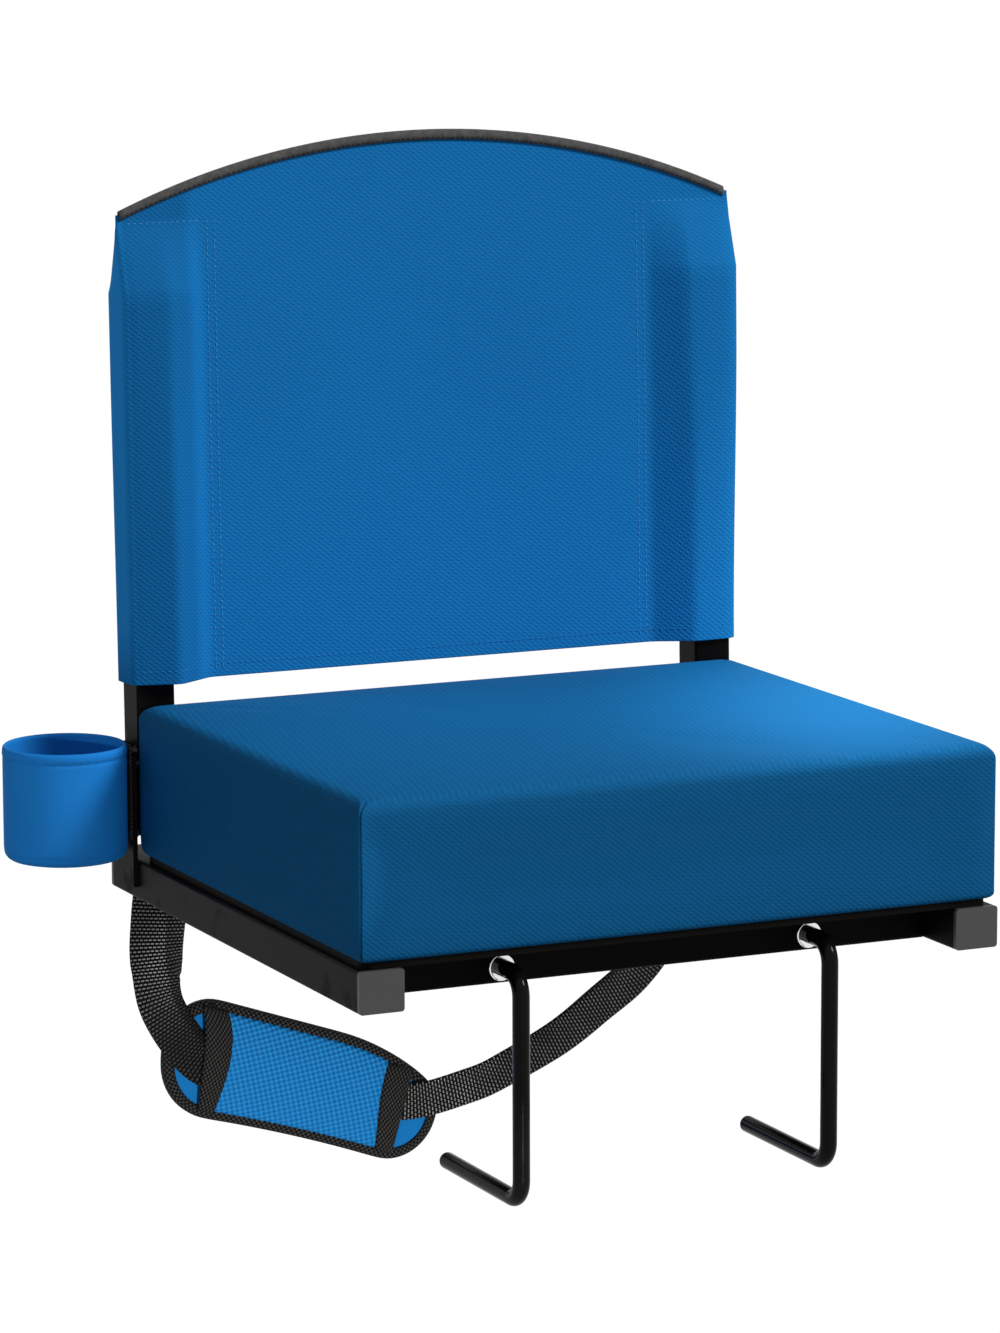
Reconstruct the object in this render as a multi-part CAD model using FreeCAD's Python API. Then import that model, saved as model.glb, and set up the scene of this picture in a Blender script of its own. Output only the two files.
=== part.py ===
import FreeCAD, Part
import math
import os

Vector = FreeCAD.Vector
AXIS_X = Vector(1, 0, 0)
AXIS_Y = Vector(0, 1, 0)
AXIS_Z = Vector(0, 0, 1)

# Stadium seat that hooks onto a bench. Millimetres and degrees.
# Origin: centre of the front rail's bottom face, on the bench plane.
# +X to the viewer's right, +Y to the rear, +Z up.

# Frame: two runners joined by a front and a rear rail
seat_width = 414
runner_length = 390
runner_width = 28
runner_height = 25
tube_wall = 1.5
tube_corner = 2
rail_size = 20
rail_setback = 40
cap_flange = 3
plug_length = 14
plug_fit = 0.2

# Seat: board, foam and cover
board_thickness = 4
board_inset = 4
cushion_inset = 1.4
cushion_depth = 341.8
cushion_height = 93
cushion_round = 9
cushion_crown = 1.5
side_swell = 0.6
cover_thickness = 1.2
cover_hem = 24
foam_fit = 0.2

# Hinge: a bracket on each runner whose inner ear holds the pivot bolt and, in a notch, the
# guide pin of the upright back
plate_thickness = 3
plate_bottom = 8
plate_nose = 13
plate_depth = 28
plate_top = 98
web_low = 35
web_high = 82.3
ear_height = 7.3
pivot_from_front = 357
pivot_height = 110
pivot_radius = 4
running_gap = 0.05
guide_reach = 16.5
guide_radius = 3
guide_depth = 6
slot_gap = 0.3
recline = 1.5
fold_angle = 90

# Back: two tubes, a cross tube and a cloth panel folded round the tubes
back_tube_size = 25
back_tube_inset = 1.5
back_tube_top = 263
back_tube_foot = 25.5
cross_tube_height = 20
cross_tube_depth = 10
cross_tube_level = 54.5
cloth = 1.2
cloth_slack = 1.6
panel_offset = -3.3
seam_x = 150
hem_level = 24.5
fold_start = 266.5
fold_end = 299.5
arch_shoulder = 316
arch_top = 359
binding_height = 6.5
binding_thickness = 3.6

# Bench hooks: bent round rods that turn in the front rail
hook_x = 100.6
hook_rod = 10.2
hook_bend = 13
hook_leg_setback = 12
hook_drop = 134
hook_tip_setback = 118
hook_tail = 10
hook_washer_radius = 8.2

# Shoulder strap and its pad, hanging behind the rear rail
strap_thickness = 2
strap_gap = 0.2
strap_anchor_x = 172
strap_steps = 48
pad_thickness = 7
pad_centre_x = -76.5
pad_centre_z = -141.6
pad_turn = 18.6
pad_cloth = 1.2
pad_round = 2
pad_tape_reach = 6
pad_layer_gap = 0.1
tunnel_inset = 6.2
tunnel_gap = 0.3
tunnel_ends = (-76, 74)
tunnel_sewn = (-68, 34)
band_width = 15
band_half = 30
band_places = ((-80, -68), (55, 60))

# Cup holder on the left hinge plate
cup_radius = 38.3
cup_wall = 2.4
cup_bottom = 28
cup_height = 71.5
cup_edge = 6
hanger_thickness = 0.8
hanger_low = 38
hanger_high = 97.5
hanger_inset = 0.5
cup_rivet_step = -10.5
cup_rivet_heights = (42, 86, 94)

# Fasteners
screw_radius = 2
screw_head_radius = 4
screw_head_depth = 2.2
screw_length = 14
hole_gap = 0.1
rivet_radius = 2.5
rivet_head_radius = 4.2
rivet_head_depth = 1.7
rivet_tail_radius = 3.6
rivet_tail = 1.4
bolt_head_radius = 6
bolt_head_height = 2.6
bolt_head_round = 1.6
bolt_overrun = 1.5
pivot_washer_radius = 7
pivot_washer_gap = 0.15
pivot_nut_across = 13
pivot_nut_height = 7
press_gap = 0.02
hook_gap = 0.2
hook_washer_thickness = 2.4
hook_washer_round = 0.9
hook_nut_across = 16
hook_nut_height = 8
strap_screw_radius = 2.5
strap_screw_head_radius = 4.6
strap_screw_head_height = 2.6
strap_screw_head_round = 1.2
strap_washer_radius = 8
strap_washer_thickness = 1.2
cup_rivet_radius = 2
cup_rivet_head_radius = 2.8
cup_rivet_head_height = 0.6
cup_rivet_tail_radius = 3.2
cup_rivet_tail = 1

# Places worked out from the sizes above
half_width = seat_width / 2
runner_x = half_width - runner_width / 2
inner_x = half_width - runner_width
front_y = -rail_setback - rail_size / 2
rear_y = front_y + runner_length
pivot_y = front_y + pivot_from_front
cushion_x = half_width - cushion_inset
cushion_front = front_y + cushion_inset
cushion_rear = cushion_front + cushion_depth
cushion_bottom = runner_height + board_thickness
cushion_top = cushion_bottom + cushion_height
plate_x = half_width + plate_thickness
ear_x = inner_x - plate_thickness
plate_front = pivot_y - plate_nose
back_tube_x = half_width - back_tube_inset - back_tube_size / 2
rail_z = rail_size / 2
strap_y = rear_y + strap_gap + strap_thickness / 2
screw_stations = (0.15, 0.5, 0.85)
rivet_stations = (7, 21)


def box(low, high):
    size = high - low
    return Part.makeBox(size.x, size.y, size.z, low)


def rod(start, end, radius):
    return Part.makeCylinder(radius, (end - start).Length, start, end - start)


def line(start, end):
    return Part.LineSegment(start, end).toShape()


def arc(start, middle, end):
    return Part.Arc(start, middle, end).toShape()


def polygon(points):
    return Part.Wire([line(a, b) for a, b in zip(points, points[1:] + points[:1])])


def rounded_rectangle(width, height, radius):
    """Wire in the XY plane, centred on the origin."""
    x = width / 2
    y = height / 2
    inner = radius * (1 - math.sqrt(0.5))
    edges = []
    for sx, sy in ((1, 1), (-1, 1), (-1, -1), (1, -1)):
        side = Vector(sx * x, sy * (y - radius))
        end = Vector(sx * (x - radius), sy * y)
        middle = Vector(sx * (x - inner), sy * (y - inner))
        first, last = (side, end) if sx * sy > 0 else (end, side)
        if edges:
            edges.append(line(edges[-1].lastVertex(True).Point, first))
        edges.append(arc(first, middle, last))
    edges.append(line(edges[-1].lastVertex(True).Point, edges[0].firstVertex(True).Point))
    return Part.Wire(edges)


def bar(width, height, radius, length):
    """Solid bar along +Z from the origin."""
    return Part.Face(rounded_rectangle(width, height, radius)).extrude(Vector(0, 0, length))


def tube(width, height, length):
    hollow = bar(width - 2 * tube_wall, height - 2 * tube_wall, tube_corner - tube_wall, length)
    return bar(width, height, tube_corner, length).cut(hollow)


def plug(width, height):
    """Plastic end plug along +Z: a flange, then a hollow stem that fits in the tube."""
    stem_width = width - 2 * (tube_wall + plug_fit)
    stem_height = height - 2 * (tube_wall + plug_fit)
    stem = bar(stem_width, stem_height, 1, cap_flange + plug_length)
    core = bar(stem_width - 2 * cap_flange, stem_height - 2 * cap_flange, 1, plug_length)
    core.translate(Vector(0, 0, cap_flange))
    return bar(width, height, tube_corner, cap_flange).fuse(stem).cut(core).removeSplitter()


def along_y(shape, place, backwards=False):
    shape.rotate(Vector(), AXIS_X, 90 if backwards else -90)
    shape.translate(place)
    return shape


def along_x(shape, place):
    shape.rotate(Vector(), AXIS_Y, 90)
    shape.translate(place)
    return shape


def on_back(shape):
    """Take a shape made upright about the pivot to its place, reclined."""
    shape.rotate(Vector(), AXIS_X, -recline)
    shape.translate(Vector(0, pivot_y, pivot_height))
    return shape


def on_pad(shape):
    """Take a shape made flat in the XZ plane to the hanging pad."""
    shape.rotate(Vector(), AXIS_Y, pad_turn)
    shape.translate(Vector(pad_centre_x, 0, pad_centre_z))
    return shape


def mirrored(shape):
    return shape.mirror(Vector(), AXIS_X)


def both_sides(shapes):
    return Part.makeCompound(shapes + [mirrored(shape) for shape in shapes])


def save(name, shape):
    shape.exportStep("parts/" + name + ".step")


def save_pair(name, right_shape):
    save("right_" + name, right_shape)
    save("left_" + name, mirrored(right_shape))


def screw_places():
    length = cushion_depth - 2 * board_inset
    return [Vector(runner_x, cushion_front + share * length, cushion_bottom) for share in screw_stations]


def countersunk_screw(place, grow=0):
    """Wood screw pointing down, its flat head level with place."""
    head = Part.makeCone(screw_head_radius + grow, screw_radius + grow, screw_head_depth, place, -AXIS_Z)
    return head.fuse(rod(place, place - Vector(0, 0, screw_length), screw_radius + grow))


def rivet_places():
    height = (plate_bottom + runner_height) / 2
    return [Vector(half_width, plate_front + step, height) for step in rivet_stations]


def flush_rivet(place, grow=0):
    """Rivet through the hinge plate and the runner's wall: countersunk head, flat tail inside."""
    face = place + Vector(plate_thickness, 0, 0)
    inner = place - Vector(tube_wall, 0, 0)
    end = inner - Vector(rivet_tail, 0, 0)
    head = Part.makeCone(rivet_head_radius + grow, rivet_radius + grow, rivet_head_depth, face, -AXIS_X)
    shank = rod(face, end, rivet_radius + grow)
    return head.fuse(shank).fuse(rod(inner, end, rivet_tail_radius)).removeSplitter()


def cross_hole(place, radius):
    """Drill along X through the walls near place."""
    reach = Vector(2 * plate_thickness, 0, 0)
    return rod(place - reach, place + reach, radius)


def runner():
    shape = tube(runner_width, runner_height, runner_length - 2 * cap_flange)
    shape = along_y(shape, Vector(runner_x, front_y + cap_flange, runner_height / 2))
    for place in screw_places():
        shape = shape.cut(countersunk_screw(place, hole_gap))
    for place in rivet_places():
        shape = shape.cut(cross_hole(place, rivet_radius + running_gap))
    return shape


def runner_cap(rear):
    place = Vector(runner_x, rear_y if rear else front_y, runner_height / 2)
    return along_y(plug(runner_width, runner_height), place, rear)


def rail(centre_y):
    shape = tube(rail_size, rail_size, 2 * inner_x)
    return along_x(shape, Vector(-inner_x, centre_y, rail_z))


def front_rail():
    shape = rail(0)
    for x in (-hook_x, hook_x):
        reach = Vector(0, rail_size, 0)
        axis = Vector(x, 0, rail_z)
        shape = shape.cut(rod(axis - reach, axis + reach, hook_rod / 2 + running_gap))
    return shape


def rear_rail():
    shape = rail(rear_y - rail_size / 2)
    for x in (-strap_anchor_x, strap_anchor_x):
        axis = Vector(x, rear_y, rail_z)
        shape = shape.cut(rod(axis - Vector(0, rail_size / 2, 0), axis, strap_screw_radius + hole_gap))
    return shape


def seat_board():
    width = 2 * (half_width - board_inset)
    depth = cushion_depth - 2 * (board_inset - cushion_inset)
    shape = bar(width, depth, 8, board_thickness)
    shape.translate(Vector(0, cushion_front + cushion_depth / 2, runner_height))
    for place in screw_places():
        hole = countersunk_screw(place, hole_gap)
        shape = shape.cut(hole).cut(mirrored(hole))
    return shape


def cushion_section(y, inset, crown, swell):
    """Cross-section of the cushion at y: flat base, swollen sides, crowned top."""
    x = cushion_x - inset
    low = cushion_bottom + inset
    high = cushion_top - inset
    radius = cushion_round - 0.85 * min(inset, cushion_round)
    near = radius * (1 - math.sqrt(0.5))
    right = [
        arc(Vector(x - radius, y, low), Vector(x - near, y, low + near), Vector(x, y, low + radius)),
        arc(Vector(x, y, low + radius), Vector(x + swell, y, (low + high) / 2), Vector(x, y, high - radius)),
        arc(Vector(x, y, high - radius), Vector(x - near, y, high - near), Vector(x - radius, y, high)),
    ]
    left = [mirrored(edge) for edge in right]
    top = arc(Vector(x - radius, y, high), Vector(0, y, high + crown), Vector(radius - x, y, high))
    base = line(Vector(radius - x, y, low), Vector(x - radius, y, low))
    return Part.Wire(Part.__sortEdges__([base] + right + [top] + left))


def cushion_form(skin):
    """Cushion drawn in by skin on every side, with rounded ends and a crown."""
    first = cushion_front + skin
    last = cushion_rear - skin
    stations = []
    for angle in (0, 30, 60, 90):
        turn = math.radians(angle)
        stations.append((cushion_round * (1 - math.cos(turn)), cushion_round * (1 - math.sin(turn))))
    middle = [((last - first) * share, 0) for share in (0.1, 0.25, 0.5, 0.75, 0.9)]
    closing = [(last - first - along, inset) for along, inset in reversed(stations)]
    sections = []
    for along, inset in stations + middle + closing:
        swell = math.sin(math.pi * along / (last - first))
        rise = max(cushion_crown * swell, 0.2)
        sections.append(cushion_section(first + along, skin + inset, rise, max(side_swell * swell, 0.1)))
    return Part.makeLoft(sections, True, True)


def seat_cover():
    """Sewn cover: closed on top and sides, turned in under the foam as a hem."""
    mouth = box(Vector(cover_hem - cushion_x, cushion_front + cover_hem, cushion_bottom - 1),
                Vector(cushion_x - cover_hem, cushion_rear - cover_hem, cushion_bottom + 2 * cover_thickness))
    return cushion_form(0).cut(cushion_form(cover_thickness)).cut(mouth)


def seat_foam():
    return cushion_form(cover_thickness + foam_fit)


def guide_point(angle, radius):
    """Point on the bracket's ear at an angle from straight down, counted to the rear."""
    turn = math.radians(angle)
    return Vector(ear_x, pivot_y + radius * math.sin(turn), pivot_height - radius * math.cos(turn))


def guide_slot():
    """Path of the guide pin through the ear; it leaves the ear at the rear edge."""
    start = -recline
    end = fold_angle - recline
    centre = (start + end) / 2
    half = guide_radius + slot_gap
    outer = guide_reach + half
    inner = guide_reach - half
    cap = math.degrees(half / guide_reach)
    edges = [
        arc(guide_point(start, outer), guide_point(centre, outer), guide_point(end, outer)),
        arc(guide_point(end, outer), guide_point(end + cap, guide_reach), guide_point(end, inner)),
        arc(guide_point(end, inner), guide_point(centre, inner), guide_point(start, inner)),
        arc(guide_point(start, inner), guide_point(start - cap, guide_reach), guide_point(start, outer)),
    ]
    return Part.Face(Part.Wire(edges)).extrude(Vector(plate_thickness, 0, 0))


def side_plate(x, bottom, top):
    """Plate from x outwards, with rounded upper corners."""
    def at(y, z):
        return Vector(x, y, z)
    rear = plate_front + plate_depth
    shoulder = top - plate_nose
    near = plate_nose * (1 - math.sqrt(0.5))
    outline = Part.Wire([
        line(at(plate_front, bottom), at(plate_front, shoulder)),
        arc(at(plate_front, shoulder), at(plate_front + near, top - near), at(plate_front + plate_nose, top)),
        line(at(plate_front + plate_nose, top), at(rear - plate_nose, top)),
        arc(at(rear - plate_nose, top), at(rear - near, top - near), at(rear, shoulder)),
        line(at(rear, shoulder), at(rear, bottom)),
        line(at(rear, bottom), at(plate_front, bottom)),
    ])
    return Part.Face(outline).extrude(Vector(plate_thickness, 0, 0))


def hinge_plate():
    """Bracket: plate on the runner, web behind the foot of the back tube, ear on its inner side."""
    rear = plate_front + plate_depth
    ear = side_plate(ear_x, web_low, pivot_height + ear_height).cut(guide_slot())
    web = box(Vector(ear_x, rear - plate_thickness, web_low), Vector(plate_x, rear, web_high))
    shape = side_plate(half_width, plate_bottom, plate_top).fuse([web, ear]).removeSplitter()
    shape = shape.cut(cross_hole(Vector(inner_x, pivot_y, pivot_height), pivot_radius + running_gap))
    for place in rivet_places():
        shape = shape.cut(flush_rivet(place, running_gap))
    return shape


def ring(x_low, x_high, radius):
    """Plain washer on the pivot axis."""
    low = Vector(x_low, pivot_y, pivot_height)
    high = Vector(x_high, pivot_y, pivot_height)
    return rod(low, high, radius).cut(rod(low, high, pivot_radius + running_gap))


def pivot_washer():
    tube_face = back_tube_x - back_tube_size / 2
    return ring(inner_x + pivot_washer_gap, tube_face - pivot_washer_gap, pivot_washer_radius)


def hexagon(across, centre, axis, length):
    """Hexagonal prism from centre along axis."""
    points = [Vector(across / math.sqrt(3), 0, 0)]
    for _ in range(6):
        points.append(FreeCAD.Rotation(AXIS_Z, 60).multVec(points[-1]))
    shape = Part.Face(Part.makePolygon(points)).extrude(Vector(0, 0, length))
    shape.Placement = FreeCAD.Placement(centre, FreeCAD.Rotation(AXIS_Z, axis))
    return shape


nut_face = back_tube_x - back_tube_size / 2 + tube_wall + running_gap


def pivot_nut():
    """Lock nut on the pivot bolt, inside the back tube behind its inner wall."""
    face = Vector(nut_face, pivot_y, pivot_height)
    nut = hexagon(pivot_nut_across, face, AXIS_X, pivot_nut_height)
    return nut.cut(rod(face, face + Vector(pivot_nut_height, 0, 0), pivot_radius + running_gap))


def pivot_bolt():
    under = Vector(ear_x, pivot_y, pivot_height)
    top = under - Vector(bolt_head_height, 0, 0)
    end = Vector(nut_face + pivot_nut_height + bolt_overrun, pivot_y, pivot_height)
    head = rod(under, top, bolt_head_radius)
    rim = [edge for edge in head.Edges if edge.CenterOfMass.x < top.x + hole_gap]
    head = head.makeFillet(bolt_head_round, rim)
    return head.fuse(rod(under, end, pivot_radius)).removeSplitter()


def back_tube():
    """Square tube, upright about the pivot, between its foot and top plugs."""
    length = back_tube_top + back_tube_foot - 2 * cap_flange
    shape = tube(back_tube_size, back_tube_size, length)
    shape.translate(Vector(back_tube_x, 0, cap_flange - back_tube_foot))
    reach = Vector(back_tube_size, 0, 0)
    pivot = Vector(back_tube_x, 0, 0)
    guide = Vector(back_tube_x, 0, -guide_reach)
    shape = shape.cut(rod(pivot - reach, pivot, pivot_radius + running_gap))
    shape = shape.cut(rod(guide - reach, guide, guide_radius + press_gap))
    return on_back(shape)


def back_plug(top):
    shape = plug(back_tube_size, back_tube_size)
    if top:
        shape.rotate(Vector(), AXIS_X, 180)
    else:
        guide = Vector(0, 0, back_tube_foot - guide_reach)
        reach = Vector(back_tube_size, 0, 0)
        shape = shape.cut(rod(guide - reach, guide, guide_radius + press_gap))
    shape.translate(Vector(back_tube_x, 0, back_tube_top if top else -back_tube_foot))
    return on_back(shape)


def guide_pin():
    """Pin pressed into the foot of a back tube; it seats in the notch of the bracket's ear."""
    start = Vector(ear_x + hole_gap, 0, -guide_reach)
    end = Vector(back_tube_x - back_tube_size / 2 + guide_depth, 0, -guide_reach)
    return on_back(rod(start, end, guide_radius))


def cross_tube():
    inner = back_tube_x - back_tube_size / 2
    shape = tube(cross_tube_height, cross_tube_depth, 2 * inner)
    rear = cross_tube_depth / 2 + tube_wall
    return on_back(along_x(shape, Vector(-inner, rear, cross_tube_level)))


def pocket_points(grow, flat_grow, z, flat):
    """Right-hand pocket round a back tube, from its front edge to its rear edge.

    grow is the distance from the room round the tube, flat_grow from the plane of the
    panel; flat from 0 to 1 draws the pocket together onto that plane.
    """
    half = back_tube_size / 2 + cloth_slack + grow
    front = (1 - flat) * -half + flat * (panel_offset - flat_grow)
    rear = (1 - flat) * half + flat * (panel_offset + flat_grow)
    near = back_tube_x - half
    far = back_tube_x + half
    return [Vector(near, front, z), Vector(far, front, z), Vector(far, rear, z), Vector(near, rear, z)]


def panel_outline(z, flat):
    """Closed outline of the whole panel with both pockets."""
    right = pocket_points(cloth, cloth / 2, z, flat)
    front_seam = Vector(seam_x, panel_offset - cloth / 2, z)
    rear_seam = Vector(seam_x, panel_offset + cloth / 2, z)
    half = [front_seam] + right + [rear_seam]
    left = [Vector(-p.x, p.y, p.z) for p in reversed(half)]
    return polygon(half + left)


def pocket_hole(z, flat):
    """Room for a tube inside the right-hand pocket."""
    return polygon(pocket_points(0, cloth / 6, z, flat) + [Vector(seam_x + 2, panel_offset, z)])


def arch_face(shoulder, top, half, base):
    """Flat cloth above the pockets: straight base and sides, arched top."""
    left = Vector(-half, 0, shoulder)
    right = Vector(half, 0, shoulder)
    edges = [
        line(Vector(-half, 0, base), Vector(half, 0, base)),
        line(Vector(half, 0, base), right),
        arc(right, Vector(0, 0, top), left),
        line(left, Vector(-half, 0, base)),
    ]
    return Part.Face(Part.Wire(edges))


def sheet(face, thickness):
    """Face in the XZ plane thickened about the plane of the panel."""
    shape = face.extrude(Vector(0, thickness, 0))
    shape.translate(Vector(0, panel_offset - thickness / 2, 0))
    return shape


def back_panel():
    """One cloth: a flat middle, a pocket round each tube, a flat arched top."""
    half = back_tube_x + back_tube_size / 2 + cloth_slack + cloth
    pockets = Part.makeLoft([panel_outline(hem_level, 0), panel_outline(fold_start, 0)], True, True)
    taper = Part.makeLoft([panel_outline(fold_start, 0), panel_outline(fold_end, 1)], True, True)
    room = Part.makeLoft([pocket_hole(hem_level - 1, 0), pocket_hole(fold_start, 0)], True, True)
    shrink = Part.makeLoft([pocket_hole(fold_start, 0), pocket_hole(fold_end - 3, 1)], True, True)
    top = sheet(arch_face(arch_shoulder - 2, arch_top - 2, half, fold_end), cloth)
    shape = pockets.fuse([taper, top])
    for hollow in (room, shrink):
        shape = shape.cut(hollow).cut(mirrored(hollow))
    low = cross_tube_level - cross_tube_height / 2 - 1
    high = cross_tube_level + cross_tube_height / 2 + 1
    slit = box(Vector(seam_x + 4, tube_wall / 2, low), Vector(back_tube_x, back_tube_size, high))
    return on_back(shape.cut(slit).cut(mirrored(slit)).removeSplitter())


def back_top_binding():
    """Tape folded over the arched edge of the panel."""
    half = back_tube_x + back_tube_size / 2 + cloth_slack + cloth
    outer = arch_face(arch_shoulder, arch_top, half, fold_end)
    lower = arch_face(arch_shoulder - binding_height, arch_top - binding_height, half + 1, fold_end - 1)
    groove = arch_face(arch_shoulder - 1.8, arch_top - 1.8, half + 1, fold_end - 1)
    strip = sheet(outer, binding_thickness).cut(sheet(lower, 2 * binding_thickness))
    return on_back(strip.cut(sheet(groove, cloth + 0.2)))


def hook_path():
    """Centre line of a hook: from behind the rail forward, down, and back under the bench."""
    def at(y, z):
        return Vector(0, y, z)
    leg = front_y + hook_leg_setback
    low = rail_z - hook_drop
    tip = front_y + hook_tip_setback
    near = hook_bend * (1 - math.sqrt(0.5))
    return Part.Wire([
        line(at(rail_size / 2 + hook_tail, rail_z), at(leg + hook_bend, rail_z)),
        arc(at(leg + hook_bend, rail_z), at(leg + near, rail_z - near), at(leg, rail_z - hook_bend)),
        line(at(leg, rail_z - hook_bend), at(leg, low + hook_bend)),
        arc(at(leg, low + hook_bend), at(leg + near, low + near), at(leg + hook_bend, low)),
        line(at(leg + hook_bend, low), at(tip, low)),
    ])


def hook(x):
    path = hook_path()
    start = path.Vertexes[0].Point
    profile = Part.Wire(Part.makeCircle(hook_rod / 2, start, AXIS_Y))
    shape = path.makePipeShell([profile], True, False)
    tip_y = front_y + hook_tip_setback
    rims = [edge for edge in shape.Edges if abs(edge.CenterOfMass.y - tip_y) < 0.01]
    shape = shape.makeFillet(hook_rod / 4, rims)
    shape.translate(Vector(x, 0, 0))
    return shape


def hook_washer(x):
    """Bright washer on the rod, in front of the rail."""
    rear = Vector(x, -rail_size / 2 - hook_gap, rail_z)
    front = rear - Vector(0, hook_washer_thickness, 0)
    disc = rod(rear, front, hook_washer_radius)
    rim = [edge for edge in disc.Edges if edge.CenterOfMass.y < front.y + 0.01]
    return disc.makeFillet(hook_washer_round, rim).cut(rod(rear, front, hook_rod / 2 + running_gap))


def hook_nut(x):
    """Lock nut on the rod, behind the rail."""
    face = Vector(x, rail_size / 2 + hook_gap, rail_z)
    nut = hexagon(hook_nut_across, face, AXIS_Y, hook_nut_height)
    return nut.cut(rod(face, face + Vector(0, hook_nut_height, 0), hook_rod / 2 + running_gap))


def pad_place(along, up):
    """Point of the strap's plane at a place on the pad."""
    turn = math.radians(pad_turn)
    x = pad_centre_x + along * math.cos(turn) + up * math.sin(turn)
    z = pad_centre_z - along * math.sin(turn) + up * math.cos(turn)
    return Vector(x, strap_y, z)


def strap_route():
    """Hand-chosen points of the strap's centre line, from the left end to the right end."""
    left = [(-strap_anchor_x, 18), (-strap_anchor_x, 0), (-174, -24), (-175.5, -52), (-170.5, -84)]
    right = [(40, -156), (62, -149), (105, -129), (134, -110.5), (159, -93), (177, -70), (181, -40),
             (176, -10), (strap_anchor_x, 18)]
    on_the_pad = [pad_place(-72, 2), pad_place(-30, 2), pad_place(20, 3), pad_place(70, 2)]
    ends = [[Vector(x, strap_y, z) for x, z in side] for side in (left, right)]
    return ends[0] + on_the_pad + ends[1]


def strap_size(share):
    """Width and thickness of the strap at a share of its length.

    The webbing is 38 mm wide. It is creased lengthwise on the left and folded double on the
    right, and lies flat at both ends.
    """
    stations = ((0, 38, 2), (0.03, 38, 2), (0.1, 32.5, 2), (0.165, 38, 2), (0.3, 38, 2), (0.46, 24, 2),
                (0.56, 24, 2), (0.62, 24, 3.6), (0.84, 26, 3.6), (0.94, 38, 2), (1, 38, 2))
    for before, after in zip(stations, stations[1:]):
        if share <= after[0]:
            part = (share - before[0]) / (after[0] - before[0])
            return [low + (high - low) * part for low, high in zip(before[1:], after[1:])]


def strap_section(point, along, width, thickness):
    """Rectangle across the strap."""
    wide = AXIS_Y.cross(along).normalize() * (width / 2)
    deep = AXIS_Y * (thickness / 2)
    return polygon([point + wide + deep, point - wide + deep, point - wide - deep, point + wide - deep])


def shoulder_strap():
    """Webbing that hangs in a loop from both ends of the rear rail."""
    curve = Part.BSplineCurve()
    curve.interpolate(strap_route())
    length = curve.length()
    sections = []
    for step in range(strap_steps + 1):
        share = step / strap_steps
        place = curve.parameterAtDistance(share * length)
        sections.append(strap_section(curve.value(place), curve.tangent(place)[0], *strap_size(share)))
    shape = Part.makeLoft(sections, True, True)
    print("strap length", round(length, 1), "mm")
    for x in (-strap_anchor_x, strap_anchor_x):
        axis = Vector(x, strap_y, rail_z)
        reach = Vector(0, strap_thickness, 0)
        shape = shape.cut(rod(axis - reach, axis + reach, strap_screw_radius + hole_gap))
    return shape


def strap_washer():
    near = Vector(strap_anchor_x, strap_y + strap_thickness / 2 + hole_gap, rail_z)
    far = near + Vector(0, strap_washer_thickness, 0)
    return rod(near, far, strap_washer_radius).cut(rod(near, far, strap_screw_radius + hole_gap))


def strap_screw():
    washer_face = strap_y + strap_thickness / 2 + 2 * hole_gap + strap_washer_thickness
    under = Vector(strap_anchor_x, washer_face, rail_z)
    top = under + Vector(0, strap_screw_head_height, 0)
    head = rod(under, top, strap_screw_head_radius)
    rim = [edge for edge in head.Edges if edge.CenterOfMass.y > top.y - hole_gap]
    head = head.makeFillet(strap_screw_head_round, rim)
    return head.fuse(rod(under, under - Vector(0, screw_length, 0), strap_screw_radius)).removeSplitter()


def pad_outline():
    """Outline of the pad in the XZ plane: straight long edges, the right end more pointed."""
    def at(x, z):
        return Vector(x, 0, z)
    return Part.Wire([
        line(at(-76, 38), at(18, 36.6)),
        arc(at(18, 36.6), at(51.8, 32.5), at(84, 21.5)),
        arc(at(84, 21.5), at(96.3, 10.3), at(99.8, -6)),
        arc(at(99.8, -6), at(91.6, -26.4), at(71, -37.2)),
        arc(at(71, -37.2), at(8, -35.6), at(-62, -38.2)),
        arc(at(-62, -38.2), at(-86.5, -28.5), at(-99, -5)),
        arc(at(-99, -5), at(-95, 26), at(-76, 38)),
    ])


def pad_plate(inset, front, rear):
    """Plate of the pad's outline, drawn in by inset, between two depths."""
    face = Part.Face(pad_outline())
    if inset:
        face = face.makeOffset2D(-inset)
    shape = face.extrude(Vector(0, rear - front, 0))
    shape.translate(Vector(0, front, 0))
    return shape


pad_front = strap_y + strap_thickness / 2 + tunnel_gap + pad_cloth + pad_layer_gap
pad_rear = pad_front + pad_thickness


def pad_ring(inset, depth):
    """Outline of the pad, drawn in by inset, at a depth."""
    ring_wire = Part.Face(pad_outline()).makeOffset2D(-inset).OuterWire
    ring_wire.translate(Vector(0, depth, 0))
    return ring_wire


def shoulder_pad():
    """Padded core whose rims are drawn in under the edge tape."""
    room = pad_cloth + 2 * pad_layer_gap
    rings = [pad_ring(room + pad_round, pad_front), pad_ring(room, pad_front + pad_round),
             pad_ring(room, pad_rear - pad_round), pad_ring(room + pad_round, pad_rear)]
    return on_pad(Part.makeLoft(rings, True, True))


def pad_binding():
    """Tape folded round the edge of the pad."""
    tape = pad_plate(0, pad_front - pad_cloth - pad_layer_gap, pad_rear + pad_cloth + pad_layer_gap)
    groove = pad_plate(pad_cloth, pad_front - pad_layer_gap, pad_rear + pad_layer_gap)
    middle = pad_plate(pad_tape_reach, pad_front - 2 * pad_cloth, pad_rear + 2 * pad_cloth)
    return on_pad(tape.cut(groove).cut(middle))


tunnel_front = strap_y - strap_thickness / 2 - tunnel_gap - pad_cloth
tunnel_rear = pad_front - pad_layer_gap


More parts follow.
